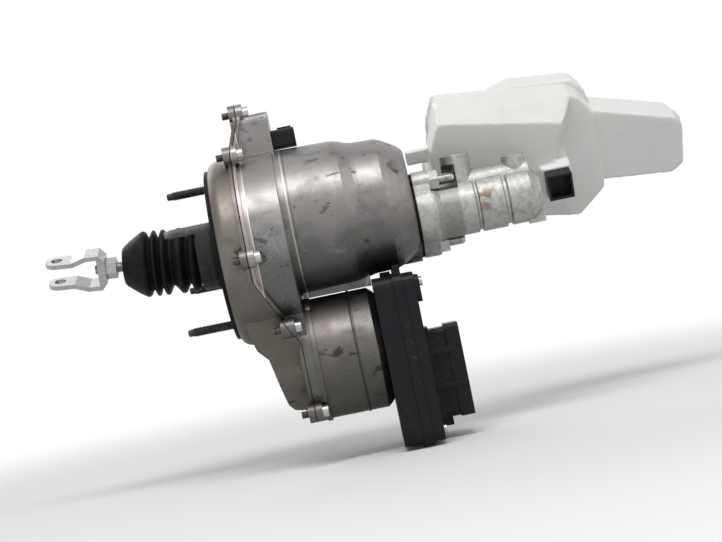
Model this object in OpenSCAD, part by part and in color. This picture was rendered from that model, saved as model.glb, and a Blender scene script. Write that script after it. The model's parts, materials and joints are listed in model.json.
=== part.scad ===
// Motor-driven brake booster with tandem master cylinder and fluid reservoir, millimetres.
// +X runs forward along the push rod, +Z is up in the stored pose, origin on the rear face.

/* [Rear mounting] */
// Roll of the car's upright about the rod axis, degrees
car_roll = 23; // [18:1:28]
// Firewall stud circle diameter
stud_pcd = 130; // [126:1:134]
// Firewall stud thread radius
stud_r = 4; // [3:0.5:5]
// How far the firewall studs stand out behind the rear face
stud_out = 42; // [25:1:50]
// Thickness of the firewall gasket
gasket_t = 2.5; // [1:0.5:4]

/* [Gear case and barrel] */
// Outer radius of the round gear case
case_r = 81.3; // [80.5:0.1:84]
// Wall thickness of the cast shells
wall = 3.5; // [3:0.1:4]
// Front of the gear case, where the barrel starts
case_front = 58; // [57:0.5:60]
// Outer radius of the barrel at its shoulder
barrel_r = 64; // [62:0.5:66]
// Height of the barrel centre above the rod axis
barrel_rise = 16; // [14:0.5:17]
// Front face of the barrel
barrel_end = 168; // [168:1:172]
// Height of the travel sensor bump
bump_top = 114; // [110:1:120]

/* [Motor] */
// Outer radius of the motor can
can_r = 52.5; // [51:0.5:54]
// Front end of the motor can
can_end = 120; // [118:1:122]
// Number of stator teeth
stator_teeth = 12; // [9:3:12]

/* [Gear train] */
// Teeth on the motor pinion, with the large idler's teeth going down as they go up
pinion_teeth = 14; // [13:1:15]
// Gap between the barrel and the motor can
motor_gap = 3.9; // [3.5:0.1:4.5]
// Tooth flank thinning for backlash
backlash = 0.12; // [0.08:0.01:0.2]

/* [Push rod] */
// Upward tilt of the push rod at rest, degrees
rod_tilt = 5.4; // [3:0.1:6]
// Centre of the push rod ball along the axis
ball_x = -6; // [-7:0.5:-5]
// Radius of the ball
ball_r = 5; // [4.5:0.1:5]
// Radius of the push rod
rod_r = 4.75; // [4.5:0.05:5]
// Clevis pin hole radius
pin_hole_r = 5; // [4:0.1:5.5]
// Distance from the ball to the clevis pin
pin_reach = 139; // [135:1:142]
// Gap between the clevis arms at the pin
fork_gap = 15.5; // [13:0.5:17]
// Thickness of a clevis arm
arm_t = 4; // [3:0.5:5]

/* [Booster internals] */
// Radius of the hollow spindle
spindle_r = 14; // [13.5:0.1:14.5]
// Radius of the input plunger
plunger_r = 8; // [7.5:0.1:8.5]
// Distance of the guide rods from the rod axis
guide_y = 38; // [36:0.5:39]
// Radius of the guide rods
guide_r = 4; // [3.5:0.1:4.5]
// Radial clearance of running fits
run_gap = 0.06; // [0.03:0.01:0.1]

/* [Master cylinder] */
// Bore radius of the master cylinder
mc_bore_r = 11; // [10:0.1:11.9]
// Thickness of the front end of the master cylinder
mc_front_t = 11; // [10:0.5:14]
// Outer radius of the master cylinder
mc_r = 24.5; // [24:0.5:26]
// Half the spacing of the master cylinder studs
mc_stud_l = 29; // [28:0.5:30]
// Brake line port thread radius
port_r = 5; // [4.5:0.1:6]

/* [Reservoir] */
// Underside of the reservoir above the rod axis
res_bottom = 38; // [38:0.5:40]
// Height of the seam between the two shells
res_seam = 95; // [90:1:98]
// Top of the reservoir
res_top = 123; // [118:1:126]
// Wall thickness of the reservoir
res_wall = 2.2; // [1.8:0.1:3]

/* [Control unit] */
// Half width of the control unit
ecu_half = 55; // [52:1:58]
// How far the control unit reaches below the motor can
ecu_drop = 33.1; // [31:0.1:35]
// Depth of the control unit from the motor to the face of its cover
ecu_depth = 35; // [34:0.5:37]

/* [Hidden] */
$fn = 96;
eps = 0.02;
fit = 0.02;
seal_half = 0.4;
neck_r = 25;
cuff_r = 26.6;
// The pressed-in shank of a firewall stud is this much thicker than its thread
shank_step = 0.6;
neck_len = 15;
zinc = [0.75, 0.75, 0.72];
steel = [0.6, 0.6, 0.62];
cast_grey = [0.56, 0.56, 0.55];
black = [0.08, 0.08, 0.08];
ivory = [0.92, 0.9, 0.84];
motor_drop = barrel_r - barrel_rise + can_r + motor_gap;
idler_big_teeth = 62 - pinion_teeth;
idler_small_teeth = 20;
nut_teeth = 60;
teeth_sum = pinion_teeth + idler_big_teeth + idler_small_teeth + nut_teeth;
gear_m = round(motor_drop / (0.49 * teeth_sum) * 20) / 20;
pinion_r = gear_m * pinion_teeth / 2;
idler_big_r = gear_m * idler_big_teeth / 2;
idler_small_r = gear_m * idler_small_teeth / 2;
nut_r = gear_m * nut_teeth / 2;
first_centres = pinion_r + idler_big_r;
second_centres = idler_small_r + nut_r;
idler_z = (pow(first_centres, 2) - pow(second_centres, 2) - pow(motor_drop, 2)) / (2 * motor_drop);
idler_y = sqrt(pow(second_centres, 2) - pow(idler_z, 2));
nut_gear_x = 16;
nut_gear_w = 12;
idler_small_x = 17.5;
idler_big_x = 32;
idler_big_w = 10;
pin_r = 4;
nut_hub_r = 20;
bearing_r = 30;
bearing_x = 46;
bearing_w = 11;
front_wall_x = 54;
motor_plate_x = 60;
motor_plate_t = 4;
can_x = motor_plate_x + motor_plate_t;
shaft_r = 4;
motor_bearing_r = 11;
motor_bearing_w = 8;
plunger_nose = 106.6;
head_x = 100;
head_r = 22;
head_end = 118;
disc_r = 13;
disc_x = 108.1;
disc_t = 6;
crosshead_x = 90;
crosshead_t = 8;
guide_end = barrel_end - 16;
inner_end = barrel_end - 6;
spigot_r = 20;
spigot_x = barrel_end - 8;
flange_x = barrel_end + 3;
flange_t = 14;
nut_seat = flange_x + flange_t - 0.5;
primary_x = barrel_end - 20;
primary_end = primary_x + 50;
secondary_x = primary_end + 22;
secondary_end = secondary_x + 26;
bore_end = secondary_end + 22;
mc_end = bore_end + mc_front_t;
skirt_depth = 14;
port_a_x = flange_x + 40;
port_b_x = port_a_x + 50;
port_a_top = 46;
port_b_top = 36;
port_lean = 6;
inlet_a_x = flange_x + 39;
inlet_b_x = inlet_a_x + 42;
inlet_u = 30;
grommet_r = 9.5;
nipple_r = 6.5;
res_x = flange_x - 171;
cap_x = res_x + 220;
cap_l = 16;
cap_r = 20;
float_x = res_x + 300;
float_l = -4;
ecu_low = -motor_drop - can_r - ecu_drop;
ecu_high = barrel_rise - barrel_r + 2;
ecu_frame_x = can_end + 17;
ecu_cover_x = can_end + 25;
ecu_front = can_end + ecu_depth;
board_x = can_end + 18.6;
board_front = board_x + 1.6;
stack_x = can_x + 12;
motor_screw_r = can_r - 6.5;
motor_screw_turns = [30, 150, 270];
stack_end = can_end - 12;
conn_floor = ecu_front + 5;
conn_end = ecu_front + 30;
barrel_top = barrel_rise + barrel_r;
sensor_z = barrel_top - 14;
plug_low = barrel_top + 1;
plug_high = plug_low + 16;

// Helpers

// Turns a piece drawn along +Z so that it runs along +X from x
module along_x(x = 0) {
  translate([x, 0, 0]) rotate([0, 90, 0]) children();
}

// Round bar along X at a height and depth
module bar(x0, x1, r, y = 0, z = 0) {
  translate([x0, y, z]) rotate([0, 90, 0]) cylinder(h = x1 - x0, r = r);
}

// Hexagon along X, across flats
module hex_bar(x0, x1, flats, y = 0, z = 0) {
  translate([x0, y, z]) rotate([0, 90, 0]) cylinder(h = x1 - x0, r = flats / sqrt(3), $fn = 6);
}

// Turned profile of [radius, x] points
module turned(points) {
  rotate([0, 90, 0]) rotate_extrude() polygon(points);
}

// Plate of a Y-Z outline from x0 to x1
module plate(x0, x1) {
  translate([x0, 0, 0]) rotate([90, 0, 90]) linear_extrude(x1 - x0) children();
}

// Slab of an X-Z outline, y from -w to w
module slab(w) {
  translate([0, w, 0]) rotate([90, 0, 0]) linear_extrude(2 * w) children();
}

// Puts a piece drawn with x, y up in the car and z sideways into the stored pose
module rolled() {
  rotate([car_roll, 0, 0]) children();
}

// Tub outline of X-l points from height u0 to u1 in the rolled frame
module tub(u0, u1) {
  rolled() translate([res_x, u1, 0]) rotate([90, 0, 0]) linear_extrude(u1 - u0) children();
}

// Tilts a piece about the push rod ball
module rod_frame() {
  translate([ball_x, 0, 0]) rotate([0, rod_tilt, 0]) children();
}

function unit(v) = v / norm(v);
function wrap(points, i) = points[(i + len(points)) % len(points)];
function corner_arc(a, p, b, r, steps) =
  let (
    u = unit(a - p),
    v = unit(b - p),
    half = acos(u * v) / 2,
    t = min(r / tan(half), 0.45 * min(norm(a - p), norm(b - p))),
    c = p + unit(u + v) * t / cos(half),
    s = p + u * t - c,
    e = p + v * t - c,
    from = atan2(s[1], s[0]),
    turn = atan2(s[0] * e[1] - s[1] * e[0], s * e)
  )
  [for (i = [0:steps]) c + norm(s) * [cos(from + turn * i / steps), sin(from + turn * i / steps)]];
function rounded(points, r, steps = 4) = [
  for (i = [0:len(points) - 1])
    each corner_arc(wrap(points, i - 1), points[i], wrap(points, i + 1), r, steps)
];
function box_points(y0, y1, z0, z1) = [[y0, z0], [y1, z0], [y1, z1], [y0, z1]];

// Gears

function involute(angle) = tan(angle) * 180 / PI - angle;
function flank_points(teeth, thin, steps = 3) =
  let (
    r = gear_m * teeth / 2,
    base = r * cos(20),
    tip = r + gear_m,
    low = max(base, r - 1.1 * gear_m),
    half = 90 / teeth - thin / r * 180 / PI
  )
  [for (i = [0:steps])
    let (
      q = low + (tip - low) * i / steps,
      a = acos(base / q),
      turn = half + involute(20) - involute(a)
    )
    [q, turn]];
function gear_points(teeth, thin) =
  let (
    flank = flank_points(teeth, thin),
    root = gear_m * teeth / 2 - 1.25 * gear_m,
    pitch = 360 / teeth
  )
  [for (k = [0:teeth - 1])
    each concat(
      [[root, k * pitch - flank[0][1]]],
      [for (p = flank) [p[0], k * pitch - p[1]]],
      [for (i = [len(flank) - 1:-1:0]) [flank[i][0], k * pitch + flank[i][1]]],
      [[root, k * pitch + flank[0][1]]]
    )];
module gear(teeth, width, turn = 0) {
  points = [for (p = gear_points(teeth, backlash)) p[0] * [cos(p[1]), sin(p[1])]];
  rotate(turn) linear_extrude(width) polygon(points);
}

// Direction of a Y-Z line as a turn in the gear plane, where x is -Z and y is Y
function gear_angle(dy, dz) = atan2(dy, -dz);
// Turn that puts a tooth, or a gap, on the line of centres
function tooth_at(angle) = angle;
function gap_at(angle, teeth) = angle + 180 / teeth;

// Gear case

case_top_w = 18;
lobe_r = can_r - 11.5;
lobe_z = -45;
lobe_half = idler_big_r + 22;
rim = 4;
parting = [[34, 125], [34, 110], [26, 88], [24, 80], [24, -30], [52, -88], [52, -200]];
// Half width of the lobe at height z
function lobe_edge(z) = lobe_half - (lobe_half - lobe_r) * (lobe_z - z) / (motor_drop + lobe_z);
// Ear positions as y, z and the x of the parting there
ear_r = case_r + rim - 0.33;
can_ear_r = can_r + 7.7;
lobe_ear_z = lobe_z - 27;
lobe_ear_y = lobe_edge(lobe_ear_z) + rim + 7.73;
ears = [
  [-12, bump_top + 2.5, 34],
  for (s = [-1, 1], a = [[63.5, 4.45], [-6.1, 0]]) [s * (ear_r + a[1]) * cos(a[0]), (ear_r + a[1]) * sin(a[0]), 24],
  for (s = [-1, 1]) [s * lobe_ear_y, lobe_ear_z, 44.3],
  for (s = [-1, 1]) [s * can_ear_r * cos(44.4), -motor_drop - can_ear_r * sin(44.4), 52]
];

module parting_band(back, ahead) {
  slab(200) polygon(concat(
    [for (p = parting) p + [-back, 0]],
    [for (i = [len(parting) - 1:-1:0]) parting[i] + [ahead, 0]]
  ));
}
module round_outline(r) {
  circle(r);
}
module lobe_outline(grow) {
  translate([0, -motor_drop]) circle(lobe_r + grow);
  polygon([
    [-lobe_r - grow, -motor_drop], [lobe_r + grow, -motor_drop],
    [lobe_half + grow, lobe_z], [-lobe_half - grow, lobe_z]
  ]);
}
module bump_outline(grow) {
  polygon(rounded(box_points(-case_top_w - grow, case_top_w + grow, 60, bump_top + grow), 7 + grow));
}
module case_outline(grow) {
  round_outline(case_r + grow);
  lobe_outline(grow);
  bump_outline(grow);
}
module lobe_side(t) {
  slab(120) polygon([
    [3 + t, -40], [14 + t, -86], [22 + t, -95], [30 + t, -137 + t / 3], [34 + t * 0.7, -143 + t],
    [43, -146 + t], [60, -146 + t], [60, -40]
  ]);
}
module round_case(t, front) {
  edge = 10;
  corner = [for (a = [0:10:90]) [case_r - edge + (edge - t) * sin(a), edge - (edge - t) * cos(a)]];
  turned(concat([[0, t]], corner, [[case_r - t, front], [0, front]]));
}
module case_outer() {
  round_case(0, case_front);
  intersection() {
    plate(0, case_front) lobe_outline(0);
    lobe_side(0);
  }
  plate(28, case_front + 2) bump_outline(0);
  intersection() {
    plate(10, case_front) case_outline(rim);
    parting_band(3.2, 3.2);
  }
  bar(48.8, 55.2, can_r + 1, 0, -motor_drop);
  for (e = ears) bar(e[2] - 6, e[2] + 6, 8, e[0], e[1]);
}
module case_cavity() {
  round_case(wall, front_wall_x);
  intersection() {
    plate(0, front_wall_x) lobe_outline(-wall);
    lobe_side(wall);
  }
  plate(31, case_front - 1) bump_outline(-wall);
}
module ear_holes(r) {
  for (e = ears) bar(e[2] - 30, e[2] + 30, r, e[0], e[1]);
}
module behind() {
  slab(200) polygon(concat([[-60, 125]], [for (p = parting) p - [seal_half, 0]], [[-60, -200]]));
}
module ahead() {
  slab(200) polygon(concat([[200, 125]], [for (p = parting) p + [seal_half, 0]], [[200, -200]]));
}
module rear_cover() {
  color(cast_grey) {
    difference() {
      union() {
        intersection() {
          difference() {
            case_outer();
            case_cavity();
          }
          behind();
        }
        bar(-neck_len, 2, neck_r);
        for (a = [0:3]) rolled() rotate([45 + 90 * a, 0, 0]) bar(2, 9, 9, stud_pcd / 2);
        intersection() {
          bar(2, idler_small_x - 0.8, 8, idler_y, idler_z);
          case_outer();
        }
        bar(-2, 9, nut_hub_r + 4);
        for (a = [20:40:340]) rotate([a, 0, 0]) translate([2, 25, -1.5]) cube([4, 45, 3]);
      }
      bar(-neck_len - 1, 20, spindle_r + run_gap);
      bar(-neck_len + 3, 6, neck_r - 6);
      for (a = [0:3]) rolled() rotate([45 + 90 * a, 0, 0]) bar(-1, 7, stud_r + shank_step + fit, stud_pcd / 2);
      bar(9, 60, pin_r + fit, idler_y, idler_z);
      ear_holes(3);
    }
  }
}

barrel_profile = [
  [case_front - 1, 0], [barrel_r, case_front - 1], [barrel_r, 62], [barrel_r - 1.2, 106], [barrel_r - 2, 112],
  [barrel_r - 5.5, 122], [barrel_r - 6.3, 126], [barrel_r - 7, 146], [barrel_r - 9.5, 152],
  [barrel_r - 13, 158], [barrel_r - 17, 164], [barrel_r - 20, 167], [barrel_r - 22, barrel_end]
];
module barrel(t) {
  points = concat(
    [[0, front_wall_x + (t > 0 ? -2 : 0)]],
    [[barrel_r - t, front_wall_x + (t > 0 ? -2 : 0)]],
    [for (i = [2:12]) [barrel_profile[i][0] - t, barrel_profile[i][1] - (i > 7 ? t : 0)]],
    [[0, barrel_end - t]]
  );
  translate([0, 0, barrel_rise]) turned(points);
}
module flange_outline(grow) {
  circle(29 + grow);
  for (s = [-1, 1]) rotate(car_roll) translate([0, s * mc_stud_l]) circle(10.5 + grow);
  rotate(car_roll) for (s = [0, 180]) rotate(s) polygon([
    [-26 - grow, 12], [26 + grow, 12], [10 + grow, mc_stud_l + 3], [-10 - grow, mc_stud_l + 3]
  ]);
}
module front_housing() {
  color(cast_grey) {
    difference() {
      union() {
        difference() {
          union() {
            intersection() {
              case_outer();
              ahead();
            }
            barrel(0);
          }
          difference() {
            case_cavity();
            bar(bearing_x, front_wall_x + 1, bearing_r + 5);
          }
          difference() {
            barrel(wall + 0.5);
            bar(bearing_x, case_front, bearing_r + 5);
            for (s = [-1, 1]) bar(front_wall_x - 3, 66, guide_r + 3, s * guide_y);
            for (s = [-1, 1]) bar(guide_end - 12, barrel_end, guide_r + 3.6, s * guide_y);
            difference() {
              plate(front_wall_x, case_front) circle(case_r - 1);
              bar(front_wall_x - 1, case_front + 1, 6, 0, sensor_z);
            }
          }
        }
        intersection() {
          difference() {
            plate(52 + seal_half, motor_plate_x) translate([0, -motor_drop]) circle(can_r + 1);
            translate([0, 0, barrel_rise]) bar(0, 200, barrel_r - 8);
          }
          plate(52 + seal_half, motor_plate_x) union() {
            translate([0, -motor_drop]) circle(can_r + 1);
            lobe_outline(0);
          }
        }
        plate(150, barrel_end) flange_outline(2);
        translate([0, 0, -50]) for (s = [-1, 1]) translate([60, s * 14 - 2, -1]) cube([59.5, 4, 12]);
        bar(44, front_wall_x + 1, 8, idler_y, idler_z);
      }
      bar(bearing_x - 1, 70, bearing_r + fit);
      bar(inner_end - 14, barrel_end + 1, spigot_r + 0.05);
      bar(140, inner_end, 31);
      bar(30, 57, pin_r + fit, idler_y, idler_z);
      bar(front_wall_x - 2, motor_plate_x + 1, motor_bearing_r + fit, 0, -motor_drop);
      bar(40, 80, 5, 0, sensor_z);
      for (s = [-1, 1]) bar(front_wall_x + 2, guide_end, guide_r + fit, s * guide_y);
      for (s = [-1, 1]) rolled() bar(inner_end + 0.4, barrel_end + 1, 5 + fit, 0, s * mc_stud_l);
      for (a = motor_screw_turns) translate([0, 0, -motor_drop]) rotate([a, 0, 0]) bar(50, 70, 2.5 + fit, 0, motor_screw_r);
      translate([56, -6, plug_low + 3]) cube([10, 12, 8]);
      ear_holes(3);
      for (e = ears) bar(e[2] + 6, e[2] + 12, 5.5, e[0], e[1]);
    }
  }
}
module housing_seal() {
  color(black) difference() {
    intersection() {
      difference() {
        case_outer();
        case_cavity();
      }
      parting_band(seal_half, seal_half);
    }
    ear_holes(3);
  }
}
module housing_screws() {
  color(zinc) for (e = ears) {
    difference() {
      bar(e[2] + 6, e[2] + 11, 5.2, e[0], e[1]);
      hex_bar(e[2] + 8.5, e[2] + 12, 5, e[0], e[1]);
    }
    bar(e[2] - 12, e[2] + 6.5, 2.95, e[0], e[1]);
  }
}
module firewall_gasket() {
  color(black) difference() {
    bar(-gasket_t, 0, 74);
    bar(-gasket_t - 1, 1, cuff_r + 3.2);
    for (a = [0:3]) rolled() rotate([45 + 90 * a, 0, 0]) bar(-gasket_t - 1, 1, stud_r + 1.5, stud_pcd / 2);
  }
}
module firewall_studs() {
  color(steel) for (a = [0:3]) rolled() rotate([45 + 90 * a, 0, 0]) {
    bar(-stud_out + 5, 1, stud_r, stud_pcd / 2);
    bar(0, 6.5, stud_r + shank_step, stud_pcd / 2);
    bar(-stud_out, -stud_out + 5, stud_r - 0.9, stud_pcd / 2);
  }
}

// Push rod side

boot_held = -neck_len - 3;
boot_nose = ball_x - pin_reach + 57;
// Folds as distance from the held end and radius, on a boot that is boot_drawn long
boot_drawn = 70;
boot_folds = [
  [0, 22.6], [7.5, 22.6], [10.5, 28.5], [13.5, 20.5], [19, 28], [21, 28], [27.7, 21], [33, 28], [34.5, 28],
  [38, 22], [41.5, 28.5], [45.5, 23], [50.5, 28.6], [52, 28.2], [68, 17.5]
];
boot_profile = [for (p = boot_folds) [boot_held - p[0] * (boot_held - boot_nose) / boot_drawn, p[1]]];
boot_t = 1.6;
boot_last = len(boot_profile) - 1;
module boot() {
  color(black) rod_frame() translate([-ball_x, 0, 0]) {
    outer = [for (p = boot_profile) [p[1], p[0]]];
    inner = [for (i = [boot_last:-1:0]) [boot_profile[i][1] - boot_t, boot_profile[i][0] + (i == boot_last ? 1 : 0)]];
    turned(concat(outer, [[17.5, boot_nose], [rod_r + 0.3, boot_nose], [rod_r + 0.3, boot_nose + 3]], inner));
  }
}
module boot_cuff() {
  color(black) turned([
    [neck_r - 0.5, -neck_len - 7], [cuff_r, -neck_len - 7], [cuff_r, -neck_len + 3], [cuff_r + 1, -neck_len + 4],
    [cuff_r + 1, -neck_len + 7], [cuff_r, -neck_len + 8], [cuff_r, -neck_len + 11], [neck_r + fit, -neck_len + 11],
    [neck_r + fit, -neck_len], [neck_r - 0.5, -neck_len]
  ]);
}
module input_rod() {
  color(zinc) rod_frame() {
    sphere(r = ball_r);
    bar(-14, -3, 3.2);
    bar(-pin_reach + 32, -13, rod_r);
  }
}
nut_far = -pin_reach + 42;
module jam_nut() {
  color(zinc) rod_frame() difference() {
    hex_bar(nut_far, nut_far + 9, 16);
    bar(nut_far - 1, nut_far + 10, rod_r + fit);
  }
}
web_near = nut_far - 0.1;
web_far = -pin_reach + 35;
// Half width of the fork outside at its wide root
root_half = 16;
module arm_side() {
  inner = fork_gap / 2;
  polygon([
    [web_near, 5], [web_near, root_half - 6], [web_near - 5, root_half], [-pin_reach + 25, root_half],
    [-pin_reach + 13, inner + arm_t], [-pin_reach - 12, inner + arm_t], [-pin_reach - 12, inner],
    [-pin_reach + 14, inner], [-pin_reach + 26, root_half - arm_t], [web_far, root_half - arm_t],
    [web_far, 5]
  ]);
}
module clevis() {
  color(zinc) rod_frame() rotate([car_roll, 0, 0]) difference() {
    intersection() {
      union() {
        for (s = [0, 1]) mirror([0, 0, s]) slab(10) arm_side();
        bar(web_far, web_near, 11);
      }
      union() {
        translate([-pin_reach, -10, -30]) cube([60, 20, 60]);
        translate([-pin_reach, 0, -30]) cylinder(h = 60, r = 10);
      }
    }
    bar(web_far - 30, web_near + 1, rod_r + fit);
    translate([-pin_reach, 0, -40]) cylinder(h = 80, r = pin_hole_r);
  }
}
module input_plunger() {
  color(steel) difference() {
    union() {
      bar(ball_x - 6, 70, plunger_r);
      bar(70, 80, plunger_r - 2);
      bar(80, plunger_nose - 4, plunger_r);
      bar(plunger_nose - 4, plunger_nose, plunger_r - 3);
    }
    translate([ball_x, 0, 0]) sphere(r = ball_r + 0.08);
    along_x(ball_x - 6.1) cylinder(h = 4.1, r1 = 6, r2 = 4.6);
  }
}

// Booster internals

module boost_spindle() {
  color(steel) difference() {
    union() {
      bar(ball_x - 7, head_x + 1, spindle_r);
      bar(head_x, head_end, head_r);
    }
    bar(ball_x - 8, disc_x, plunger_r + run_gap);
    bar(disc_x - 0.1, head_end + 1, disc_r + 0.1);
  }
}
module crosshead() {
  color(cast_grey) difference() {
    union() {
      bar(crosshead_x, crosshead_x + crosshead_t, 29);
      plate(crosshead_x + 1, crosshead_x + crosshead_t - 1) polygon(box_points(-guide_y, guide_y, -8, 8));
      for (s = [-1, 1]) bar(crosshead_x - 4, crosshead_x + crosshead_t + 4, 8, s * guide_y);
      plate(crosshead_x + 1, crosshead_x + crosshead_t - 1) polygon(box_points(-6, 6, 20, sensor_z + 2.5));
    }
    bar(crosshead_x - 1, crosshead_x + crosshead_t + 1, spindle_r + fit);
    for (s = [-1, 1]) bar(crosshead_x - 5, crosshead_x + 20, guide_r + run_gap, s * guide_y);
    bar(crosshead_x - 1, crosshead_x + crosshead_t + 1, 2 + fit, 0, sensor_z);
  }
}
module guide_rods() {
  color(steel) for (s = [-1, 1]) bar(front_wall_x + 2.1, guide_end - 0.1, guide_r, s * guide_y);
}
module reaction_disc() {
  color(black) bar(disc_x + 0.05, disc_x + disc_t, disc_r);
}
module output_rod() {
  color(steel) {
    bar(disc_x + disc_t + 0.05, head_end - 0.4, disc_r);
    bar(head_end - 1, primary_x + 3, 5);
    translate([primary_x + 3, 0, 0]) intersection() {
      sphere(r = 5);
      bar(-1, 4.6, 6);
    }
  }
}
// Wound spring from x0 to x1: its wire is round where a plane through the axis cuts it
module coil(x0, x1, r, wire, turns) {
  spread = 360 * wire * turns / (x1 - x0);
  section = concat(
    [for (t = [-1:0.25:1]) (r + wire * sqrt(1 - t * t)) * [cos(t * spread), sin(t * spread)]],
    [for (t = [0.75:-0.25:-0.75]) (r - wire * sqrt(1 - t * t)) * [cos(t * spread), sin(t * spread)]]
  );
  along_x(x0) linear_extrude(x1 - x0, twist = -360 * turns, slices = 18 * turns, segments = 16) polygon(section);
}
module return_spring() {
  color(steel) coil(crosshead_x + crosshead_t + 0.3, inner_end - 0.3, 25.5, 1.7, 5);
}
module spindle_nut_gear() {
  color(steel) difference() {
    union() {
      difference() {
        along_x(nut_gear_x) gear(nut_teeth, nut_gear_w, tooth_at(gear_angle(idler_y, idler_z)));
        for (x = [nut_gear_x - 1, nut_gear_x + nut_gear_w - 3]) difference() {
          bar(x, x + 4, nut_r - 5);
          bar(x - 1, x + 5, nut_hub_r + 3);
        }
        for (a = [0:60:300]) rotate([a, 0, 0]) bar(0, 60, 6, 31);
      }
      bar(9.3, bearing_x + bearing_w, nut_hub_r);
    }
    bar(0, 80, spindle_r + run_gap);
  }
}
module ball_bearing(x, w, inner, outer) {
  mid = (inner + outer) / 2;
  third = (outer - inner) / 4;
  turned([
    [inner, x], [inner + third, x], [inner + third, x + w / 6], [mid + third, x + w / 6], [mid + third, x],
    [outer, x], [outer, x + w], [mid + third, x + w], [mid + third, x + w * 5 / 6],
    [inner + third, x + w * 5 / 6], [inner + third, x + w], [inner, x + w]
  ]);
}
module spindle_bearing() {
  color(steel) ball_bearing(bearing_x, bearing_w, nut_hub_r + run_gap, bearing_r);
}
module idler_gear() {
  mesh_angle = gear_angle(-idler_y, -idler_z);
  down_angle = gear_angle(-idler_y, -motor_drop - idler_z);
  color(steel) translate([0, idler_y, idler_z]) difference() {
    union() {
      along_x(idler_small_x) gear(idler_small_teeth, idler_big_x - idler_small_x + eps, gap_at(mesh_angle, idler_small_teeth));
      difference() {
        along_x(idler_big_x) gear(idler_big_teeth, idler_big_w, tooth_at(down_angle));
        difference() {
          bar(idler_big_x + 6, idler_big_x + idler_big_w + 1, idler_big_r - 5);
          bar(idler_big_x, idler_big_x + idler_big_w + 2, 9);
        }
      }
    }
    bar(0, 80, pin_r + run_gap);
  }
}
module idler_pin() {
  color(steel) bar(9.1, 56.9, pin_r, idler_y, idler_z);
}

// Motor

module motor_frame() {
  translate([0, 0, -motor_drop]) children();
}
module motor_pinion() {
  turn = gap_at(gear_angle(idler_y, idler_z + motor_drop), pinion_teeth);
  color(steel) motor_frame() difference() {
    along_x(idler_big_x - 0.5) gear(pinion_teeth, idler_big_w + 1.5, turn);
    bar(0, 80, shaft_r + fit);
  }
}
rotor_r = 29;
module motor_rotor() {
  color(steel) motor_frame() {
    bar(idler_big_x - 0.5, can_end - 2.5, shaft_r);
    bar(stack_x, stack_end, 25);
  }
}
module rotor_magnets() {
  color([0.25, 0.25, 0.27]) motor_frame() difference() {
    bar(stack_x + 0.5, stack_end - 0.5, rotor_r);
    bar(stack_x - 2, stack_end + 2, 25 + fit);
    for (a = [0:45:315]) rotate([a, 0, 0]) translate([stack_x - 6, -1, 20]) cube([stack_end - stack_x + 18, 2, 20]);
  }
}
module motor_stator() {
  color([0.4, 0.4, 0.42]) motor_frame() {
    difference() {
      bar(stack_x, stack_end, can_r - 2.6);
      bar(stack_x - 1, stack_end + 1, can_r - 9);
    }
    for (i = [0:stator_teeth - 1]) rotate([i * 360 / stator_teeth, 0, 0]) {
      translate([stack_x, -3, rotor_r + 2]) cube([stack_end - stack_x, 6, can_r - rotor_r - 10]);
      intersection() {
        translate([stack_x, -6.5, rotor_r]) cube([stack_end - stack_x, 13, 4]);
        difference() {
          bar(stack_x - 6, stack_end + 2, rotor_r + 3.5);
          bar(stack_x - 6, stack_end + 2, rotor_r + 0.6);
        }
      }
    }
  }
}
module motor_windings() {
  color([0.7, 0.4, 0.2]) motor_frame() for (i = [0:stator_teeth - 1]) rotate([i * 360 / stator_teeth, 0, 0]) {
    difference() {
      translate([stack_x - 3.5, -5.6, rotor_r + 4.4]) cube([stack_end - stack_x + 7, 11.2, can_r - rotor_r - 14.5]);
      translate([stack_x - 0.1, -3.1, 30]) cube([stack_end - stack_x + 0.2, 6.2, 20]);
    }
  }
}
module motor_bearings() {
  color(steel) motor_frame() {
    ball_bearing(front_wall_x + 0.5, motor_bearing_w, shaft_r + run_gap, motor_bearing_r);
    ball_bearing(can_end - 10, 6, shaft_r + run_gap, 8);
  }
}
module motor_can() {
  color([0.42, 0.4, 0.38]) motor_frame() difference() {
    turned([
      [can_r - 2.5, can_x], [can_r, can_x], [can_r, can_end - 24], [can_r + 0.8, can_end - 23.6], [can_r + 0.8, can_end - 22],
      [can_r, can_end - 21.6],
      [can_r, can_end - 6], [can_r - 4, can_end - 1.5], [can_r - 6, can_end], [8 + fit, can_end],
      [8 + fit, can_end - 10.5], [11, can_end - 10.5], [11, can_end - 4], [can_r - 8, can_end - 4],
      [can_r - 2.5, can_end - 8]
    ]);
    for (a = [-20, 0, 20]) rotate([a, 0, 0]) bar(can_end - 20, can_end + 1, 2.2, 0, 38);
  }
}
module motor_plate_outline() {
  circle(can_r + 2);
  for (a = motor_screw_turns) rotate(a) translate([0, motor_screw_r]) circle(10);
}
module motor_plate() {
  color([0.45, 0.43, 0.4]) motor_frame() difference() {
    plate(motor_plate_x, can_x) motor_plate_outline();
    bar(motor_plate_x - 1, can_x + 1, motor_bearing_r + 1);
    for (a = motor_screw_turns) rotate([a, 0, 0]) bar(50, 80, 2.6, 0, motor_screw_r);
  }
}
module motor_screws() {
  color(zinc) motor_frame() for (a = motor_screw_turns) rotate([a, 0, 0]) {
    bar(front_wall_x + 1, can_x, 2.5, 0, motor_screw_r);
    difference() {
      bar(can_x, can_x + 3.5, 3.9, 0, motor_screw_r);
      hex_bar(can_x + 2, can_x + 4, 3, 0, motor_screw_r);
    }
  }
}
module phase_pins() {
  color([0.75, 0.5, 0.25]) motor_frame() for (a = [-20, 0, 20]) rotate([a, 0, 0]) bar(can_end - 8.3, board_x - 0.1, 1.5, 0, 38);
}

// Travel sensor

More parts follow.
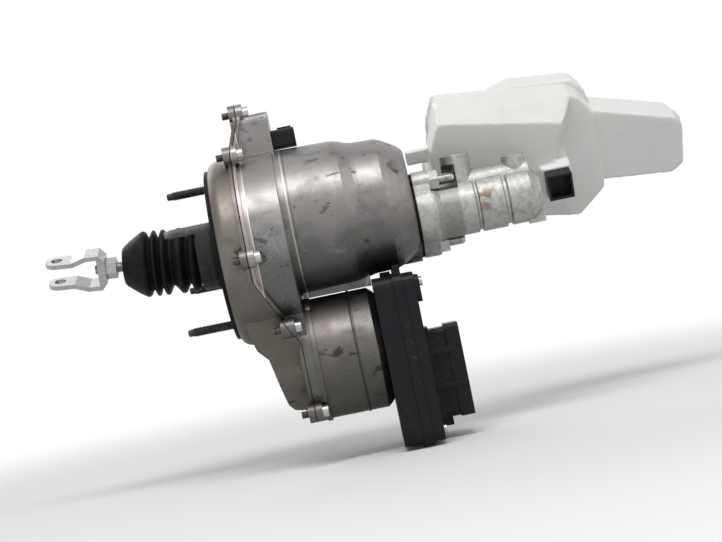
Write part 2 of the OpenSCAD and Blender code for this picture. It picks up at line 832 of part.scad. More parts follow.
module travel_magnet() {
  color([0.3, 0.3, 0.32]) {
    bar(48, crosshead_x + crosshead_t - 1, 2, 0, sensor_z);
    bar(42, 50, 4, 0, sensor_z);
  }
}
module travel_sensor_board() {
  color([0.1, 0.35, 0.2]) difference() {
    translate([40, -11, plug_low + 15]) cube([16.9, 22, 1.6]);
  }
  color(black) translate([45, -4, plug_low + 13]) cube([6, 8, 2.1]);
}
plug_pins = [-4.5, -1.5, 1.5, 4.5];
module travel_sensor_connector() {
  color(black) {
    difference() {
      plate(case_front + 2.1, case_front + 22) polygon(rounded(box_points(-11, 11, plug_low, plug_high), 2.5));
      plate(case_front + 7, case_front + 23)
        polygon(rounded(box_points(-9.2, 9.2, plug_low + 1.8, plug_high - 1.8), 1.5));
      for (y = plug_pins) translate([50, y - 0.5, plug_low + 7.5]) cube([20, 1, 1]);
    }
    translate([66, -3, plug_high - eps]) cube([12, 6, 2]);
  }
  color(zinc) for (y = plug_pins) translate([58.5, y - 0.48, plug_low + 7.52]) cube([17, 0.96, 0.96]);
}

// Control unit

module ecu_outline(grow) {
  polygon(rounded([
    [-ecu_half - grow, ecu_low - grow], [ecu_half + grow, ecu_low - grow],
    [ecu_half + grow, ecu_high + grow], [-ecu_half - grow, ecu_high + grow]
  ], 9 + grow));
}
ecu_posts = [for (y = [-1, 1], z = [ecu_low + 9, ecu_high - 9]) [y * (ecu_half - 9), z]];
module ecu_base() {
  color(black) difference() {
    union() {
      difference() {
        plate(can_end, ecu_frame_x) ecu_outline(0);
        plate(can_end + 3, ecu_frame_x + 1) ecu_outline(-3);
      }
      for (p = ecu_posts) bar(can_end + 1, ecu_frame_x, 6, p[0], p[1]);
      for (i = [0:5]) translate([can_end + 2, 3 - ecu_half, ecu_low + 22 + i * 20]) cube([3, 2 * ecu_half - 6, 2]);
      translate([can_end - 8, -30, -motor_drop - 41.6]) cube([9, 10, 8]);
      translate([can_end + 8, -6, ecu_high - 1]) cube([9, 12, 5]);
    }
    bar(can_end - 10, can_end + 0.02, can_r + 0.4, 0, -motor_drop);
    for (a = [-20, 0, 20]) motor_frame() rotate([a, 0, 0]) bar(can_end - 10, can_end + 10, 3, 0, 38);
    for (p = ecu_posts) bar(can_end + 4, ecu_frame_x + 1, 2 + fit, p[0], p[1]);
  }
}
module ecu_frame() {
  color(black) difference() {
    union() {
      difference() {
        plate(ecu_frame_x, ecu_cover_x) ecu_outline(1.5);
        plate(ecu_frame_x - 1, ecu_cover_x + 1) ecu_outline(-4);
      }
      for (p = ecu_posts) bar(ecu_frame_x, ecu_cover_x, 6, p[0], p[1]);
      translate([ecu_frame_x + 2, 28, ecu_high]) cube([6, 12, 8]);
      translate([ecu_frame_x + 2, -40, ecu_high]) cube([6, 12, 8]);
    }
    for (p = ecu_posts) bar(can_end + 10, can_end + 30, 2.2, p[0], p[1]);
  }
}
module ecu_cover() {
  color(black) difference() {
    union() {
      plate(ecu_cover_x, ecu_front) ecu_outline(0);
      plate(ecu_front - 5, ecu_front + 4) polygon(rounded(box_points(-ecu_half + 4, ecu_half - 4, ecu_high - 26, ecu_high - 3), 6));
      for (i = [0:4]) translate([ecu_front - 5, 9 - ecu_half, ecu_low + 78 - i * 15]) cube([6, 22, 3]);
      for (i = [0:4]) translate([ecu_front - 5, ecu_half - 31, ecu_low + 78 - i * 15]) cube([6, 22, 3]);
    }
    plate(ecu_cover_x - 1, ecu_front - 3) ecu_outline(-3);
    plate(ecu_cover_x - 1, ecu_front + 1.5) polygon(rounded(box_points(-ecu_half + 7, ecu_half - 7, ecu_high - 23, ecu_high - 6), 3));
    plate(can_end + 20, ecu_front + 5) polygon(box_points(-14, 10, ecu_low + 22, ecu_low + 86));
    for (p = ecu_posts) bar(can_end + 20, ecu_front + 15, 2.2, p[0], p[1]);
  }
}
module ecu_board() {
  color([0.1, 0.35, 0.2]) difference() {
    plate(board_x, board_front) polygon(box_points(-ecu_half + 6, ecu_half - 6, ecu_low + 6, ecu_high - 6));
    for (p = ecu_posts) bar(can_end + 10, can_end + 30, 6.4, p[0], p[1]);
    motor_frame() for (a = [-20, 0, 20]) rotate([a, 0, 0]) bar(can_end + 10, can_end + 30, 1.7, 0, 38);
  }
  color(black) {
    translate([board_front, -34, ecu_low + 98]) cube([3, 16, 16]);
    translate([board_front, 16, ecu_low + 98]) cube([2.4, 14, 14]);
    for (i = [0:5]) translate([board_front, -44 + i * 15, ecu_low + 92]) cube([2, 8, 5]);
  }
}
module ecu_capacitors() {
  color([0.3, 0.3, 0.34]) for (y = [-36, -18, 18, 36]) bar(can_end + 5.2, board_x - 0.1, 7.5, y, ecu_low + 24);
  color([0.55, 0.35, 0.2]) for (y = [-30, 30]) translate([can_end + 5.5, y - 9, ecu_low + 40]) cube([13, 18, 18]);
}
conn_y0 = -20;
conn_y1 = 16;
conn_z0 = ecu_low + 15;
conn_z1 = ecu_low + 92;
module ecu_connector() {
  color(black) difference() {
    union() {
      plate(ecu_front, ecu_front + 4) polygon(rounded(box_points(conn_y0 - 3, conn_y1 + 3, conn_z0 - 3, conn_z1 + 2.5), 4));
      plate(ecu_front + 3, conn_end) polygon(rounded(box_points(conn_y0, conn_y1, conn_z0, conn_z1), 4));
      plate(conn_end - 12, conn_end) polygon(rounded(box_points(conn_y0 - 1.6, conn_y1 + 1.6, conn_z0 - 1, conn_z1 + 2), 4));
      for (z = [25, 55]) translate([ecu_front + 3, conn_y0 - 2.5, conn_z0 + z]) cube([20, 3.5, 4]);
      translate([ecu_front + 1, -6, conn_z0 - 8]) cube([10, 10, 9]);
    }
    plate(conn_floor, conn_end + 1) polygon(rounded(box_points(conn_y0 + 2.4, conn_y1 - 2.4, conn_z0 + 2.4, conn_z1 - 2.4), 2));
    for (p = pin_places) translate([ecu_front - 5, p[0] - 0.8, p[1] - 0.8]) cube([12, 1.6, 1.6]);
  }
}
pin_places = [for (y = [-10, -4, 2, 8], z = [ecu_low + 24:7:ecu_low + 82]) [y, z]];
module ecu_pins() {
  color([0.8, 0.7, 0.4]) for (p = pin_places) translate([board_front + 0.1, p[0] - 0.75, p[1] - 0.75]) cube([32, 1.5, 1.5]);
}
module ecu_screws() {
  color(zinc) for (p = ecu_posts) {
    bar(can_end + 6, ecu_front + 0.1, 2, p[0], p[1]);
    x = p[1] > -motor_drop ? ecu_front + 4 : ecu_front;
    bar(ecu_front, x + 0.1, 2, p[0], p[1]);
    difference() {
      bar(x, x + 2.6, 4, p[0], p[1]);
      hex_bar(x + 1.2, x + 3, 3, p[0], p[1]);
    }
  }
}

// Master cylinder

seal_places = [for (x = [primary_x + 36, secondary_x + 4]) each [x, x + 10]];
stud_end = nut_seat + 23.5;
module mc_body() {
  color([0.7, 0.7, 0.7]) difference() {
    union() {
      bar(spigot_x, flange_x + 1, spigot_r);
      plate(flange_x, flange_x + flange_t) flange_outline(0);
      turned([
        [0, flange_x], [mc_r + 2, flange_x], [mc_r + 2, flange_x + 15], [mc_r, flange_x + 21],
        [mc_r, flange_x + 50], [mc_r - 2, flange_x + 51], [mc_r - 2, flange_x + 53], [mc_r, flange_x + 54],
        [mc_r, flange_x + 75], [mc_r - 2.5, flange_x + 76], [mc_r - 2.5, flange_x + 78.5],
        [mc_r - 0.5, flange_x + 80], [mc_r - 0.5, mc_end - 9], [mc_r - 5, mc_end - 4], [mc_r - 8, mc_end],
        [0, mc_end]
      ]);
      plate(flange_x + 19, mc_end - 7) union() {
        translate([0, 18]) circle(13);
        polygon(box_points(-13, 13, 0, 18));
      }
      rotate([port_lean, 0, 0]) {
        translate([port_a_x, 0, 0]) cylinder(h = port_a_top, r = 12.8);
        translate([port_b_x, 0, 0]) cylinder(h = port_b_top, r = 10);
      }
      for (x = [inlet_a_x, inlet_b_x]) rolled() translate([x, 0, 0]) rotate([-90, 0, 0]) cylinder(h = inlet_u + 5, r = 13);
      translate([mc_end - 14, -8, -26]) cube([14, 16, 22]);
    }
    bar(spigot_x - 1, bore_end, mc_bore_r);
    for (x = seal_places) bar(x, x + 4, mc_bore_r + 2.5);
    rotate([port_lean, 0, 0]) {
      translate([port_a_x, 0, port_a_top - 14]) cylinder(h = 20, r = port_r);
      translate([port_a_x, 0, 8]) cylinder(h = 30, r = 1.5);
      translate([port_b_x, 0, port_b_top - 14]) cylinder(h = 20, r = port_r);
      translate([port_b_x, 0, 8]) cylinder(h = 20, r = 1.5);
    }
    for (x = [inlet_a_x, inlet_b_x]) rolled() translate([x, 0, 0]) rotate([-90, 0, 0]) {
      translate([0, 0, 21]) cylinder(h = 20, r = grommet_r + 0.1);
      cylinder(h = 30, r = 1.5);
    }
    for (s = [-1, 1]) rolled() {
      bar(spigot_x, flange_x + 29, 5.3, 0, s * mc_stud_l);
      bar(nut_seat, flange_x + 38, 11.5, 0, s * mc_stud_l);
    }
  }
}
module mc_gasket() {
  color(black) difference() {
    plate(barrel_end, flange_x) flange_outline(-1);
    bar(barrel_end - 1, flange_x + 1, spigot_r + 0.3);
    for (s = [-1, 1]) rolled() bar(spigot_x, flange_x + 29, 5.4, 0, s * mc_stud_l);
  }
}
module mc_studs() {
  color(zinc) for (s = [-1, 1]) rolled() {
    bar(inner_end + 0.5, stud_end - 2, 5, 0, s * mc_stud_l);
    bar(stud_end - 2 - eps, stud_end, 4, 0, s * mc_stud_l);
  }
}
module mc_nuts() {
  color(zinc) for (s = [-1, 1]) rolled() difference() {
    union() {
      hex_bar(nut_seat + 1, nut_seat + 9, 16, 0, s * mc_stud_l);
      bar(nut_seat, nut_seat + 1.2, 10, 0, s * mc_stud_l);
    }
    bar(spigot_x, flange_x + 49, 5 + fit, 0, s * mc_stud_l);
  }
}
module mc_seals() {
  color(black) for (x = seal_places) difference() {
    bar(x + 0.05, x + 3.95, mc_bore_r + 2.45);
    bar(x - 1, x + 5, mc_bore_r - 0.02);
  }
}
module piston(x0, x1, socket) {
  difference() {
    union() {
      bar(x0, x1, mc_bore_r - 0.08);
    }
    bar(x1 - skirt_depth, x1 + 1, mc_bore_r - 2.6);
    if (socket) bar(x0 - 1, x0 + 8, 5.6);
  }
}
module primary_piston() {
  color([0.75, 0.72, 0.6]) piston(primary_x, primary_end, true);
}
module secondary_piston() {
  color([0.75, 0.72, 0.6]) piston(secondary_x, secondary_end, false);
}
module primary_spring() {
  color(steel) coil(primary_end - skirt_depth + 0.3, secondary_x - 0.3, 6.2, 1, 5);
}
module secondary_spring() {
  color(steel) coil(secondary_end - skirt_depth + 0.3, bore_end - 0.3, 6.2, 1, 5);
}

// Reservoir, outlines in X and sideways position

left_low = [[190, -26], [193, 40], [204, 66], [314, 45], [299, 8], [292, -10], [276, -26]];
left_high = [
  [188, -32], [189, 10], [197, 33], [199, 52], [207, 72], [326, 59], [335, 52.5], [347, 34], [347, -35],
  [321, -58], [288, -52], [274, -32]
];
right_block = [[330, -30], [330, 44], [347, 36], [421, 14], [426, 6], [423, -31], [412, -38]];
lid_block = [
  [246, -28], [246, 57], [277, 67.5], [334, 62], [344, 51], [348, 36], [347, -35], [321, -56], [288, -50],
  [274, -30]
];
float_r = 10;
well_half = float_r + 4.2;
float_well = [for (s = [[-1, -1], [-1, 1], [1, 1], [1, -1]]) [300, float_l] + well_half * s];
module low_tub(grow) {
  tub(res_bottom - grow, 72) polygon(rounded(grow_all(float_well, grow), 3));
  tub(res_bottom - grow, 72) polygon(rounded(grow_all(left_low, grow), 6));
  top = grow < 0 ? res_seam + 1 : res_seam;
  tub(68 - grow, top) polygon(rounded(grow_all(left_high, grow), 6));
  tub(77 - grow, top) polygon(rounded(grow_all(right_block, grow), 6));
}
// Moves every corner of an outline outward by g along its bisector
function grow_all(points, g) = [
  for (i = [0:len(points) - 1])
    let (
      a = unit(points[i] - wrap(points, i - 1)),
      b = unit(wrap(points, i + 1) - points[i]),
      n = unit([-a[1], a[0]] + [-b[1], b[0]]),
      k = n * [-a[1], a[0]]
    )
    points[i] + n * g / k
];
module high_lid(grow) {
  tub(res_seam, res_top + grow) {
    polygon(rounded(grow_all(lid_block, grow), 5));
    polygon(rounded(grow_all(right_block, grow), 6));
  }
  tub(res_seam, 103 + grow) polygon(rounded(grow_all(left_high, grow), 6));
}
module lip(u0, u1) {
  tub(u0, u1) {
    polygon(rounded(grow_all(left_high, 2.4), 6));
    polygon(rounded(grow_all(right_block, 2.4), 6));
  }
}
module nipple(x, r, u0, u1) {
  rolled() translate([x, u0, 0]) rotate([-90, 0, 0]) cylinder(h = u1 - u0, r = r);
}
module reservoir_lower() {
  color(ivory) difference() {
    union() {
      low_tub(0);
      lip(res_seam - 1.8, res_seam);
      for (x = [inlet_a_x, inlet_b_x]) nipple(x, nipple_r, 23, res_bottom + 1);
      rolled() translate([res_x + 172, 57, 26]) cube([22, 6, 13]);
      rolled() translate([float_x - 13, 31, -20]) cube([26, 8, 27]);
    }
    difference() {
      low_tub(-res_wall);
      rolled() translate([float_x, res_bottom, float_l]) rotate([-90, 0, 0]) cylinder(h = 46, r = 3);
      for (x = [225, 270]) rolled() translate([res_x + x, res_bottom, -60]) cube([res_wall, 40, 130]);
    }
    for (x = [inlet_a_x, inlet_b_x]) nipple(x, nipple_r - 2, 20, res_bottom + 5);
    rolled() translate([float_x - 9, 30, -16]) cube([18, 6.5, 19]);
  }
}
module reservoir_upper() {
  color(ivory) difference() {
    union() {
      high_lid(0);
      lip(res_seam, res_seam + 1.8);
      nipple_cap(cap_r - 4, 101, 121);
    }
    tub(res_seam + res_wall, res_top - res_wall) polygon(rounded(grow_all(lid_block, -res_wall), 4));
    tub(res_seam - 1, res_top - res_wall) polygon(rounded(grow_all(right_block, -res_wall), 4));
    tub(res_seam - 1, 103 - res_wall) polygon(rounded(grow_all(left_high, -res_wall), 4));
    nipple_cap(cap_r - 6, 90, 125);
  }
}
module nipple_cap(r, u0, u1) {
  rolled() translate([cap_x, u0, cap_l]) rotate([-90, 0, 0]) cylinder(h = u1 - u0, r = r);
}
module filler_cap() {
  color(black) difference() {
    union() {
      nipple_cap(cap_r, 106, 126);
      rolled() for (a = [0:30:330]) translate([cap_x, 106, cap_l]) rotate([-90, 0, 0]) rotate(a)
        translate([cap_r - 1, -1.5, 0]) cube([2, 3, 18]);
    }
    nipple_cap(cap_r - 4 + 0.5, 105, 121.3);
  }
}
module reservoir_grommets() {
  color(black) for (x = [inlet_a_x, inlet_b_x]) difference() {
    union() {
      nipple(x, grommet_r, 21.2, 36);
      nipple(x, 12, 35.2, 37.8);
    }
    nipple(x, nipple_r + fit, 20, 40);
  }
}
module level_float() {
  color([0.85, 0.8, 0.6]) rolled() translate([float_x, 42, float_l]) rotate([-90, 0, 0]) difference() {
    cylinder(h = 12, r = float_r);
    translate([0, 0, -1]) cylinder(h = 14, r = 3 + run_gap);
  }
}
module level_sensor() {
  color(black) rolled() difference() {
    union() {
      translate([float_x - 8.9, 30, -15.9]) cube([17.8, 6.4, 18.8]);
      translate([float_x - 11, 16, -18]) cube([22, 14.9, 23]);
    }
    translate([float_x - 9, 14, -16]) cube([18, 12, 19]);
  }
}

rear_cover();
front_housing();
housing_seal();
housing_screws();
firewall_gasket();
firewall_studs();
boot_cuff();
boot();
clevis();
jam_nut();
input_rod();
input_plunger();
boost_spindle();
crosshead();
guide_rods();
reaction_disc();
output_rod();
return_spring();
spindle_nut_gear();
spindle_bearing();
idler_gear();
idler_pin();
motor_pinion();
motor_rotor();
rotor_magnets();
motor_stator();
motor_windings();
motor_bearings();
motor_can();
motor_plate();
motor_screws();
phase_pins();
travel_magnet();
travel_sensor_board();
travel_sensor_connector();
ecu_base();
ecu_frame();
ecu_cover();
ecu_board();
ecu_capacitors();
ecu_connector();
ecu_pins();
ecu_screws();
mc_body();
mc_gasket();
mc_studs();
mc_nuts();
mc_seals();
primary_piston();
primary_spring();
secondary_piston();
secondary_spring();
reservoir_lower();
reservoir_upper();
reservoir_grommets();
filler_cap();
level_float();
level_sensor();
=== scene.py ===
"""Looks of a motor-driven brake booster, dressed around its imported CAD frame.

Metres throughout, in the frame of the part: +X runs forward along the push rod, +Z is up in the
stored pose, and the camera of the photograph looks along +Y.
"""

import json
import math

import bmesh
import bpy
import numpy as np
from mathutils import Matrix, Vector


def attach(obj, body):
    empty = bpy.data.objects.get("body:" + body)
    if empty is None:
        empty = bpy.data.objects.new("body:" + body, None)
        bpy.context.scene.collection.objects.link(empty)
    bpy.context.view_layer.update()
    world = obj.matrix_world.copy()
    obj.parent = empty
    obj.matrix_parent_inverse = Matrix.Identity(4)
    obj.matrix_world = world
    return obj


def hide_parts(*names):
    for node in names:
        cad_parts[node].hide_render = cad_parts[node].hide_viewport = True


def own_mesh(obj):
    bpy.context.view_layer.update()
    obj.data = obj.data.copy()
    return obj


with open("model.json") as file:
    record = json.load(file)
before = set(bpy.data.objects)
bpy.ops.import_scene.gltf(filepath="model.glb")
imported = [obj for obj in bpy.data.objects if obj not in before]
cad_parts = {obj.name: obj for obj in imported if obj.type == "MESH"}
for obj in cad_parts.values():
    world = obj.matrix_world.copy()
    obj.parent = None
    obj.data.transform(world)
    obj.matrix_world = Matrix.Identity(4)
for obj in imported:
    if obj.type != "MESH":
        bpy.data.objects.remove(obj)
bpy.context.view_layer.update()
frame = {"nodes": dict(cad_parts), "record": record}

MM = 0.001

# The car's own upward and sideways directions: the stored part lies rolled about +X
CAR_ROLL = math.radians(23)
CAR_UP = Vector((0, math.cos(CAR_ROLL), math.sin(CAR_ROLL)))
CAR_SIDE = Vector((0, -math.sin(CAR_ROLL), math.cos(CAR_ROLL)))

# The push rod leans about the centre of its ball end
BALL = Vector((-6 * MM, 0, 0))
ROD_TILT = math.radians(5.4)


def new_object(name, data):
    """An object of the scene that shows the data."""
    thing = bpy.data.objects.new(name, data)
    bpy.context.scene.collection.objects.link(thing)
    return thing


# Camera, for a picture of 722 x 542 points

PHOTO_ROLL = math.radians(11.5)
CAMERA_AT = Vector((0.113, -1.48, -0.037))
LENS_MM = 85
SENSOR_MM = 36
CLIP_NEAR = 0.05
CLIP_FAR = 30


def make_camera():
    """Camera square to the X-Z plane, turned about its own axis as the photograph is."""
    data = bpy.data.cameras.new("camera")
    data.lens = LENS_MM
    data.sensor_width = SENSOR_MM
    data.clip_start = CLIP_NEAR
    data.clip_end = CLIP_FAR
    camera = new_object("camera", data)
    c, s = math.cos(PHOTO_ROLL), math.sin(PHOTO_ROLL)
    turn = Matrix(((c, s, 0), (0, 0, -1), (-s, c, 0))).to_4x4()
    camera.matrix_world = Matrix.Translation(CAMERA_AT) @ turn
    bpy.context.scene.camera = camera


# Materials

# Offset of a pattern for each step of its seed
SEED_STEP = (0.37, 0.59, 0.83)

# The mix node's sockets for numbers and for colours: what lies under, what lies over, the result
MIX_NUMBERS = (2, 3, 0)
MIX_COLOURS = (6, 7, 2)


class Finish:
    """A procedural material, built up from layers of colour, gloss and relief.

    Sizes are in metres. Edge is the radius over which the shader rounds edges, or 0 for none."""

    def __init__(self, name, colour, rough, metal=0.0, edge=0.4 * MM):
        self.material = bpy.data.materials.new(name)
        self.material.use_nodes = True
        tree = self.material.node_tree
        self.nodes, self.links = tree.nodes, tree.links
        self.shader = self.nodes["Principled BSDF"]
        self.shader.inputs["Metallic"].default_value = metal
        self.place = self.add("ShaderNodeTexCoord").outputs["Object"]
        self.colour = (*colour, 1.0)
        self.rough = rough
        self.normal = None
        self.rounded = None
        if edge:
            bevel = self.add("ShaderNodeBevel", samples=6)
            bevel.inputs["Radius"].default_value = edge
            self.rounded = self.normal = bevel.outputs[0]

    def add(self, kind, **settings):
        """A new shader node with the given settings."""
        node = self.nodes.new(kind)
        for key, value in settings.items():
            setattr(node, key, value)
        return node

    def put(self, socket, value):
        """Sets a socket, or links it where the value is another node's output."""
        if isinstance(value, bpy.types.NodeSocket):
            self.links.new(value, socket)
        else:
            socket.default_value = value

    def maths(self, operation, a, b=0.5):
        """One sum of two values; b is unused where the operation takes one."""
        node = self.add("ShaderNodeMath", operation=operation)
        self.put(node.inputs[0], a)
        self.put(node.inputs[1], b)
        return node.outputs[0]

    def both(self, a, b):
        """The product of two masks, or of a mask and an amount."""
        return self.maths("MULTIPLY", a, b)

    def ramp(self, value, low, high):
        """0 below low and 1 above high, with a smooth step between."""
        node = self.add("ShaderNodeMapRange", interpolation_type="SMOOTHSTEP")
        self.put(node.inputs["Value"], value)
        node.inputs["From Min"].default_value = low
        node.inputs["From Max"].default_value = high
        return node.outputs["Result"]

    def moved(self, stretch=(1, 1, 1), turn=(0, 0, 0), seed=0):
        """Object coordinates, turned and divided by the stretch along each axis."""
        node = self.add("ShaderNodeMapping", vector_type="TEXTURE")
        self.put(node.inputs["Vector"], self.place)
        node.inputs["Location"].default_value = [step * seed for step in SEED_STEP]
        node.inputs["Rotation"].default_value = turn
        node.inputs["Scale"].default_value = stretch
        return node.outputs[0]

    def noise(self, size, detail=3.0, stretch=(1, 1, 1), turn=(0, 0, 0), seed=0, warp=0.0):
        """Cloudy noise about 0.5, with patches of the given size."""
        node = self.add("ShaderNodeTexNoise")
        self.put(node.inputs["Vector"], self.moved(stretch, turn, seed))
        node.inputs["Scale"].default_value = 1 / size
        node.inputs["Detail"].default_value = detail
        node.inputs["Distortion"].default_value = warp
        return node.outputs["Fac"]

    def specks(self, size, share, seed, radius):
        """Scattered soft spots; share is the part of the cells that holds one."""
        cells = self.add("ShaderNodeTexVoronoi")
        self.put(cells.inputs["Vector"], self.moved(seed=seed))
        cells.inputs["Scale"].default_value = 1 / size
        chance = self.add("ShaderNodeSeparateColor")
        self.put(chance.inputs[0], cells.outputs["Color"])
        spot = self.ramp(cells.outputs["Distance"], radius, radius * 0.5)
        return self.both(spot, self.maths("LESS_THAN", chance.outputs[0], share))

    def scratches(self, spacing, length, turn, seed, width, cover):
        """Thin broken lines, long along one axis, on the share of the surface that cover gives."""
        field = self.noise(spacing, 1.0, (length, 1, 1), turn, seed, warp=0.25)
        off = self.maths("ABSOLUTE", self.maths("SUBTRACT", field, 0.5))
        line = self.ramp(off, width, 0.0)
        bare = 0.62 - cover * 0.3
        patch = self.ramp(self.noise(spacing * 6, 2.0, seed=seed + 5), bare, bare + 0.08)
        return self.both(line, patch)

    def along(self, axis):
        """How far a point lies along one of the part's axes."""
        node = self.add("ShaderNodeSeparateXYZ")
        self.put(node.inputs[0], self.place)
        return node.outputs[axis]

    def band(self, axis, centre, half, soft=None):
        """1 within half of the centre along one of the part's axes, and 0 beyond a soft step."""
        off = self.maths("ABSOLUTE", self.maths("SUBTRACT", self.along(axis), centre))
        return self.ramp(off, half + (soft or half * 0.4), half)

    def wear(self, low=0.02, high=0.25):
        """1 on edges, where the rounded normal leaves the true one."""
        true = self.add("ShaderNodeNewGeometry").outputs["Normal"]
        dot = self.add("ShaderNodeVectorMath", operation="DOT_PRODUCT")
        self.put(dot.inputs[0], self.rounded)
        self.put(dot.inputs[1], true)
        return self.ramp(self.maths("SUBTRACT", 1.0, dot.outputs["Value"]), low, high)

    def layer(self, data_type, sockets, mask, amount, under, over):
        """What lies under, with another value over it where the mask is 1."""
        low, high, result = sockets
        node = self.add("ShaderNodeMix", data_type=data_type)
        self.put(node.inputs["Factor"], self.both(mask, amount))
        self.put(node.inputs[low], under)
        self.put(node.inputs[high], over)
        return node.outputs[result]

    def paint(self, mask, colour, amount=1.0):
        """Lays a colour over those painted before."""
        over = (*colour, 1.0)
        self.colour = self.layer("RGBA", MIX_COLOURS, mask, amount, self.colour, over)

    def gloss(self, mask, rough, amount=1.0):
        """Lays a roughness over those laid before."""
        self.rough = self.layer("FLOAT", MIX_NUMBERS, mask, amount, self.rough, rough)

    def relief(self, mask, height, strength=1.0):
        """Raises the surface by the height where the mask is 1, or sinks it where that is negative."""
        node = self.add("ShaderNodeBump")
        node.inputs["Strength"].default_value = strength
        node.inputs["Distance"].default_value = height
        self.put(node.inputs["Height"], mask)
        if self.normal is not None:
            self.put(node.inputs["Normal"], self.normal)
        self.normal = node.outputs[0]

    def done(self):
        """Joins the layers to the shader and gives the material."""
        self.put(self.shader.inputs["Base Color"], self.colour)
        self.put(self.shader.inputs["Roughness"], self.rough)
        if self.normal is not None:
            self.put(self.shader.inputs["Normal"], self.normal)
        return self.material


def shaded(colour, factor):
    """The colour made darker or lighter, at most white."""
    return [min(1, c * factor) for c in colour]


def paint_low_shade(f, rough, start, full, shade_colour):
    """Painted shade on the low side, with a rougher gloss: it begins at the height start and covers all
    below full.
    """
    wander = f.both(f.maths("SUBTRACT", f.noise(30 * MM, 4, seed=31), 0.5), 70 * MM)
    shade_reach = f.ramp(f.maths("ADD", f.along(2), wander), start, full)
    f.paint(shade_reach, shade_colour, 0.8)
    f.gloss(shade_reach, rough + 0.1, 0.6)


def smudges(f, dark, amount):
    """Sparse dull smudges of two sizes, each a little below the surface."""
    for size, seed, low, soft in ((13 * MM, 6, 0.63, 0.06), (5 * MM, 21, 0.66, 0.04)):
        blots = f.both(
            f.ramp(f.noise(size, 5, (1.5, 1, 1), seed=seed, warp=0.5), low, low + soft),
            f.ramp(f.noise(50 * MM, 2, seed=seed + 1), 0.44, 0.56),
        )
        f.paint(blots, shaded(dark, 0.45), 0.7 * amount)
        f.gloss(blots, 0.65, 0.6)
        f.relief(blots, -0.1 * MM, 0.6)


def handling_marks(f, colour):
    """Three sets of fine bright scratches that run in different directions."""
    for i, (spacing, turn) in enumerate(((5 * MM, 0.5), (8 * MM, -0.7), (3.5 * MM, 1.3))):
        marks = f.scratches(spacing, 12, (0.2 * i, turn, 0.1), 11 + i, 0.006, 0.35)
        f.paint(marks, shaded(colour, 1.7), 0.4)
        f.gloss(marks, 0.3, 0.5)
        f.relief(marks, -0.02 * MM, 0.5)


def worn_metal(name, colour, dark, warm, rough, brushed, smudged, low_shade, seams_and_highlights=()):
    """Handled bare metal: faint grain, cloudy tint, grease smudges, fine scratches and painted shade on
    the low side.

    Brushed is the stretch of the grain along each axis. The painted shade on the low side is (height where
    it starts, height where it is full, colour). Each band along X, for dark seam lines and painted
    highlights alike, is (centre along X, half width, colour of the line)."""
    f = Finish(name, colour, rough, 1.0, 0.5 * MM)
    f.paint(f.ramp(f.noise(60 * MM, 3, warp=0.6), 0.38, 0.68), warm, 0.75)
    f.paint(f.ramp(f.noise(24 * MM, 5, (1.6, 1, 1), seed=2, warp=0.9), 0.5, 0.7), dark, 0.5)
    grain = f.noise(0.8 * MM, 4, brushed, seed=3)
    f.paint(f.ramp(grain, 0.3, 0.75), shaded(colour, 0.8), 0.35)
    f.gloss(f.ramp(f.noise(15 * MM, 5, seed=4, warp=0.5), 0.35, 0.7), rough + 0.14, 0.8)
    f.gloss(f.ramp(grain, 0.4, 0.7), rough - 0.05, 0.4)
    # Painted shade: the low side of the part darker and rougher
    paint_low_shade(f, rough, *low_shade)
    smudges(f, dark, smudged)
    handling_marks(f, colour)
    # Bands along X: dark seam lines, and painted highlights where the colour is light
    for centre, half, line in seams_and_highlights:
        f.paint(f.band(0, centre, half), line, 0.8)
    f.relief(grain, 0.006 * MM, 0.6)
    f.relief(f.noise(9 * MM, 4, seed=9), 0.07 * MM, 0.45)
    edges = f.wear()
    f.paint(edges, shaded(colour, 1.8), 0.55)
    f.gloss(edges, rough - 0.1, 0.5)
    return f.done()


def cast_alloy():
    """Sand-cast aluminium of the master cylinder: grainy skin, dull pits, one brown fluid stain."""
    f = Finish("cast_alloy", (0.44, 0.44, 0.42), 0.48, 1.0, 0.6 * MM)
    skin = f.noise(1.1 * MM, 6, seed=1)
    lumps = f.noise(5 * MM, 3, seed=2)
    f.paint(f.ramp(lumps, 0.38, 0.7), (0.3, 0.295, 0.28), 0.7)
    f.paint(f.ramp(skin, 0.52, 0.75), (0.24, 0.235, 0.225), 0.6)
    f.gloss(f.ramp(skin, 0.35, 0.7), 0.64, 0.7)
    pits = f.ramp(f.noise(3 * MM, 4, seed=3, warp=0.6), 0.64, 0.7)
    f.paint(pits, (0.16, 0.15, 0.14), 0.5)
    spot = f.both(f.band(0, 231 * MM, 5 * MM, 7 * MM), f.band(2, 2 * MM, 4 * MM, 8 * MM))
    stain = f.both(spot, f.ramp(f.noise(7 * MM, 4, seed=4, warp=0.5), 0.42, 0.58))
    f.paint(stain, (0.17, 0.105, 0.055), 0.8)
    dull = f.band(0, 198 * MM, 9 * MM, 3 * MM)
    f.paint(dull, (0.19, 0.185, 0.175), 0.6)
    f.paint(f.wear(), (0.66, 0.66, 0.64), 0.6)
    f.relief(skin, 0.16 * MM, 0.7)
    f.relief(lumps, 0.25 * MM, 0.5)
    return f.done()


def plated(name, colour, rough=0.26, tint=(0.36, 0.33, 0.4), shade=0.4):
    """Zinc plate or machined steel: bright, with faint clouds, rubbed patches and fine lines."""
    f = Finish(name, colour, rough, 1.0, 0.3 * MM)
    f.paint(f.ramp(f.noise(6 * MM, 3, warp=0.8), 0.42, 0.62), tint, 0.5)
    f.paint(f.ramp(f.noise(2.2 * MM, 4, seed=2), 0.54, 0.7), shaded(colour, shade), 0.5)
    f.gloss(f.ramp(f.noise(3 * MM, 4, seed=3), 0.4, 0.7), rough + 0.18, 0.7)
    marks = f.scratches(2.5 * MM, 10, (0, 0.4, 0), 5, 0.012, 0.5)
    f.paint(marks, shaded(colour, 1.6), 0.5)
    f.paint(f.wear(), shaded(colour, 1.5), 0.5)
    f.relief(f.noise(1.2 * MM, 3, seed=6), 0.02 * MM, 0.5)
    return f.done()


